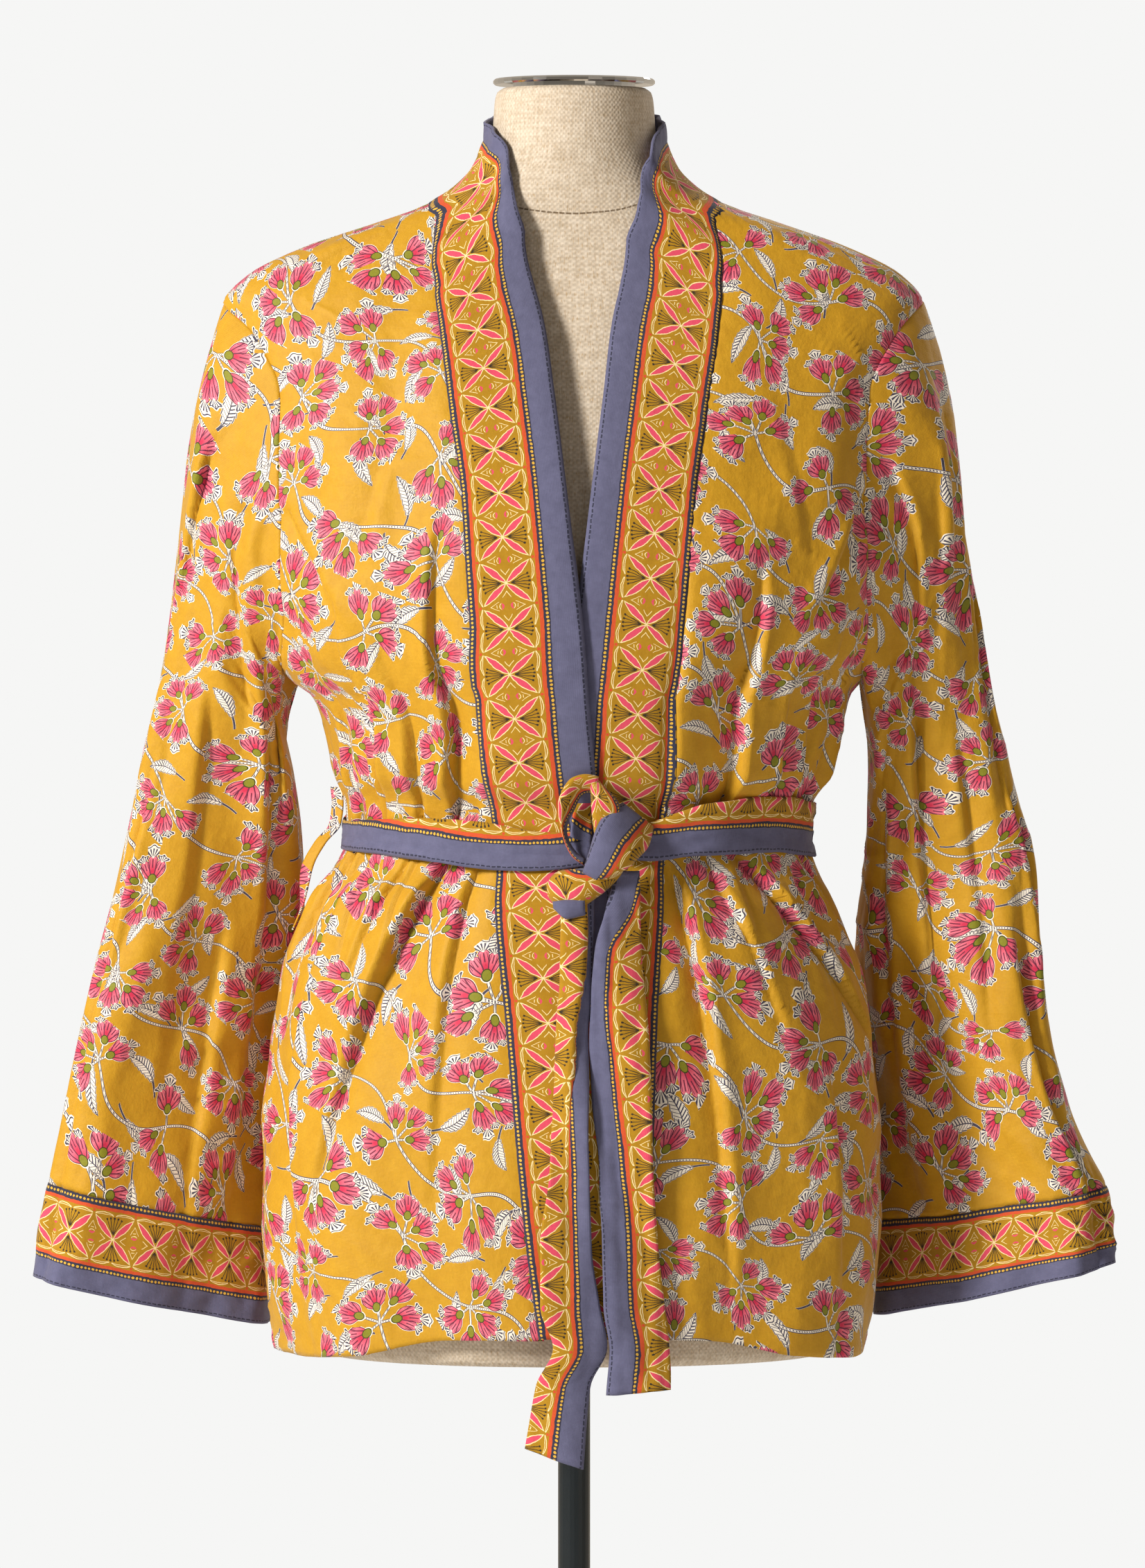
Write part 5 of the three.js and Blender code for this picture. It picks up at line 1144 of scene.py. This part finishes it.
KNOT_INSIDE = columns(KNOT_COLUMNS, [
    (1, -114, 1064.6, -2.8, -113.4, 1035.6, 1.5, 26, 60), (6, -113.5, 1066, 2, -113, 1030, 2, 24, 60),
    (11.2, -114, 1065, 10.4, -113, 1025.3, 1.5, 22, 60),
])
KNOT_FLAP = columns(KNOT_COLUMNS, [
    (9.6, -126, 1074.6, 13.4, -124, 1072.6, 2.4, 14, 40), (9.8, -128.5, 1065, 19, -127.5, 1066.4, 3.4, 15, 46),
    (10.2, -131, 1056, 25.6, -129, 1059.6, 3.8, 16, 49.5), (11, -131.5, 1046, 28, -129, 1053.5, 3.6, 18, 49.5),
    (12.4, -130, 1037, 26, -128, 1046, 3, 22, 50),
])
KNOT_OVER = columns(KNOT_COLUMNS, [
    (29.4, -124, 1057.6, 48.4, -113, 1042.4, 3, 64, 38), (22.6, -130, 1054.4, 45.4, -121, 1031.3, 4.5, 64, 34),
    (16, -134, 1047.5, 40, -128, 1025, 5.5, 64, 34), (12, -135, 1039, 33, -133, 1018.6, 5.5, 64, 36),
    (8.8, -135, 1028, 24, -135, 1013.8, 4.2, 63, 41), (4.6, -133, 1015.6, 13, -133, 1010.6, 2.2, 62, 48),
])
KNOT_BAR = columns(KNOT_COLUMNS, [
    (36, -117, 1025.5, 32.5, -116, 1016.4, 4, 50, 38), (26, -124, 1019.4, 24.5, -122, 1008.4, 5, 51, 34),
    (15, -128, 1019, 15, -126, 1000.8, 6.5, 51.5, 26), (1.4, -129, 1017.6, 4.4, -127, 994.6, 7, 49, 22),
    (-8, -127.5, 1016.6, -4.6, -126, 993.6, 6.5, 42, 20), (-13.6, -125, 1013, -11.6, -123, 995.4, 5.5, 40, 22),
    (-16.8, -121, 1008, -16, -120, 1000, 3.5, 36, 28),
])
KNOT_CORNER = columns(KNOT_COLUMNS, [
    (-13, -132, 998, -12.6, -131, 993.6, 1.2, 50, 54), (-4.6, -133, 999, -4.3, -133, 987.4, 1.8, 50, 61),
    (6.4, -132, 999, 6.8, -131, 989.6, 1.2, 50, 57),
])
for name, table, node, start, flat in (
    ("knot_loop_cotton", KNOT_LOOP, "knot_loop", 3, (0.011, 0.085)),
    ("knot_inside_cotton", KNOT_INSIDE, None, 40, (0.012, 0.045)),
    ("knot_flap_cotton", KNOT_FLAP, None, 14, (0.014, 0.04)),
    ("knot_over_cotton", KNOT_OVER, "knot_over", 5, (0.024, 0.066)),
    ("knot_bar_cotton", KNOT_BAR, "knot_bar", 9, (0.019, 0.066)),
    ("knot_corner_cotton", KNOT_CORNER, None, 0, (0.014, 0.019)),
):
    piece = puffed(name, table, start)
    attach(piece, "root")
    if node:
        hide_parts(node)

CARRIER = columns("t x y z", [
    (0, -174.2, -5, 973), (1, -168.5, -6, 988), (2, -165.5, -6, 1011), (3, -157.5, -5, 1027), (4, -148, -3, 1039),
    (5, -146.4, -1, 1052), (6, -147.2, 0, 1062),
])
t = np.linspace(0, 6, 60)[:, None]
share = np.linspace(-4, 4, 7)[None, :]
twist = np.radians(62) * smooth(t, 0.6, 2.2)
x, y, z = (curve(CARRIER, "t", t, k) for k in "xyz")
grid = np.stack([x + share * np.sin(twist), y - share * np.cos(twist), z + 0 * share], -1)
cloth_piece("belt_carrier_cotton", grid, flat_uv(grid, shift=(12, 77)), 1.1, PRINTED[:1], "printed_cotton",
            "belt_carrier")


def form_torso():
    """The linen torso: one smooth hull, flat below and rounded over at the neck's top edge."""
    z = np.concatenate([np.linspace(712, 1480, 190), np.linspace(1484, 1494, 9)])[:, None]
    turn = np.linspace(-PI, PI, 145)[None, :]
    s, c = np.sin(turn), np.cos(turn)
    exponent = mix(2 / SQUARE, 1.0, smooth(z, 1400, 1440))
    deep = np.where(c > 0, curve(FORM, "z", z, "front"), curve(FORM, "z", z, "back"))
    grid = np.stack([curve(FORM, "z", z, "wide") * power(s, exponent), -deep * power(c, exponent), z + 0 * turn], -1)
    around = mix(160, 55, smooth(z, 1380, 1440))
    seam = np.exp(-(((z - NECK_SEAM_Z - NECK_SEAM_CURVE * (turn * around) ** 2) / 1.5) ** 2)) * (c > 0)
    grid = grid - normals(grid) * (0.8 * seam)[..., None]
    uv = np.stack([turn * around, z + 0 * turn], -1)
    obj = object_from("linen_torso", grid, grid_faces(*grid.shape[:2]), uv, [LINEN])
    close_holes(obj)
    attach(obj, "root")
    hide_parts("form_torso")


form_torso()
for node, material in (("neck_cap", CHROME), ("pole", LACQUER), ("base_disc", LACQUER)):
    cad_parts[node].data.materials.clear()
    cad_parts[node].data.materials.append(material)

# Stage: a pale floor under the stand, soft studio light from the image's left, and the camera
FLOOR_REACH = 2.9
CAMERA_AT = (-0.001, -4.5, 1.25)
AIM_DROP = math.radians(2.37)
LENS = 166.6

ring = np.linspace(0, 2 * PI, 96, endpoint=False)
floor_mesh = bpy.data.meshes.new("floor")
floor_mesh.from_pydata([(FLOOR_REACH * math.cos(a), FLOOR_REACH * math.sin(a), 0) for a in ring], [],
                       [tuple(range(len(ring)))])
pale, _, shader = new_material("Pale matt floor", Roughness=0.9)
shader.inputs["Base Color"].default_value = colour("#EDEDEC")
floor_mesh.materials.append(pale)
placed("floor", floor_mesh)


def area_light(name, place, aim, size, watts, tint="#FFFFFF"):
    """A soft box that faces the point it aims at."""
    light = bpy.data.lights.new(name, "AREA")
    light.shape = "RECTANGLE"
    light.size, light.size_y = size
    light.energy = watts
    light.color = colour(tint)[:3]
    obj = placed(name, light)
    obj.location = place
    obj.rotation_euler = (Vector(aim) - Vector(place)).to_track_quat("-Z", "Y").to_euler()


area_light("key", (-2.75, -2.35, 2.6), (0, 0, 1.08), (0.7, 1.0), 198, "#FFF8EC")
area_light("fill", (2.4, -3.2, 0.9), (0, 0, 0.95), (1.6, 1.6), 5, "#FFF0DC")
area_light("rim", (1.6, 2.6, 2.4), (0, 0, 1.1), (1.6, 1.2), 22)

# The backdrop is seen at full brightness, while less of it lights the cloth
world = bpy.data.worlds.new("Studio")
world.use_nodes = True
sky = world.node_tree
seen = sky.nodes["Background"]
facing = add(sky, "SeparateXYZ", [add(sky, "TexCoord")], output=1)
studio = add(sky, "MapRange", {0: facing, 1: -0.6, 2: 0.5, 3: 0.22, 4: 0.6})
level = add(sky, "Mix", {0: add(sky, "LightPath"), 2: studio, 3: 1.0})
tone = overprinted(sky, colour("#F6E6D0"), ("#F6F6F5", add(sky, "LightPath")))
sky.links.new(tone, seen.inputs[0])
sky.links.new(level, seen.inputs[1])
bpy.context.scene.world = world
bpy.context.scene.view_settings.view_transform = "Standard"

camera = bpy.data.cameras.new("camera")
camera.lens = LENS
camera.sensor_width = 36
eye = placed("camera", camera)
eye.location = CAMERA_AT
eye.rotation_euler = (PI / 2 - AIM_DROP, 0, 0)
bpy.context.scene.camera = eye
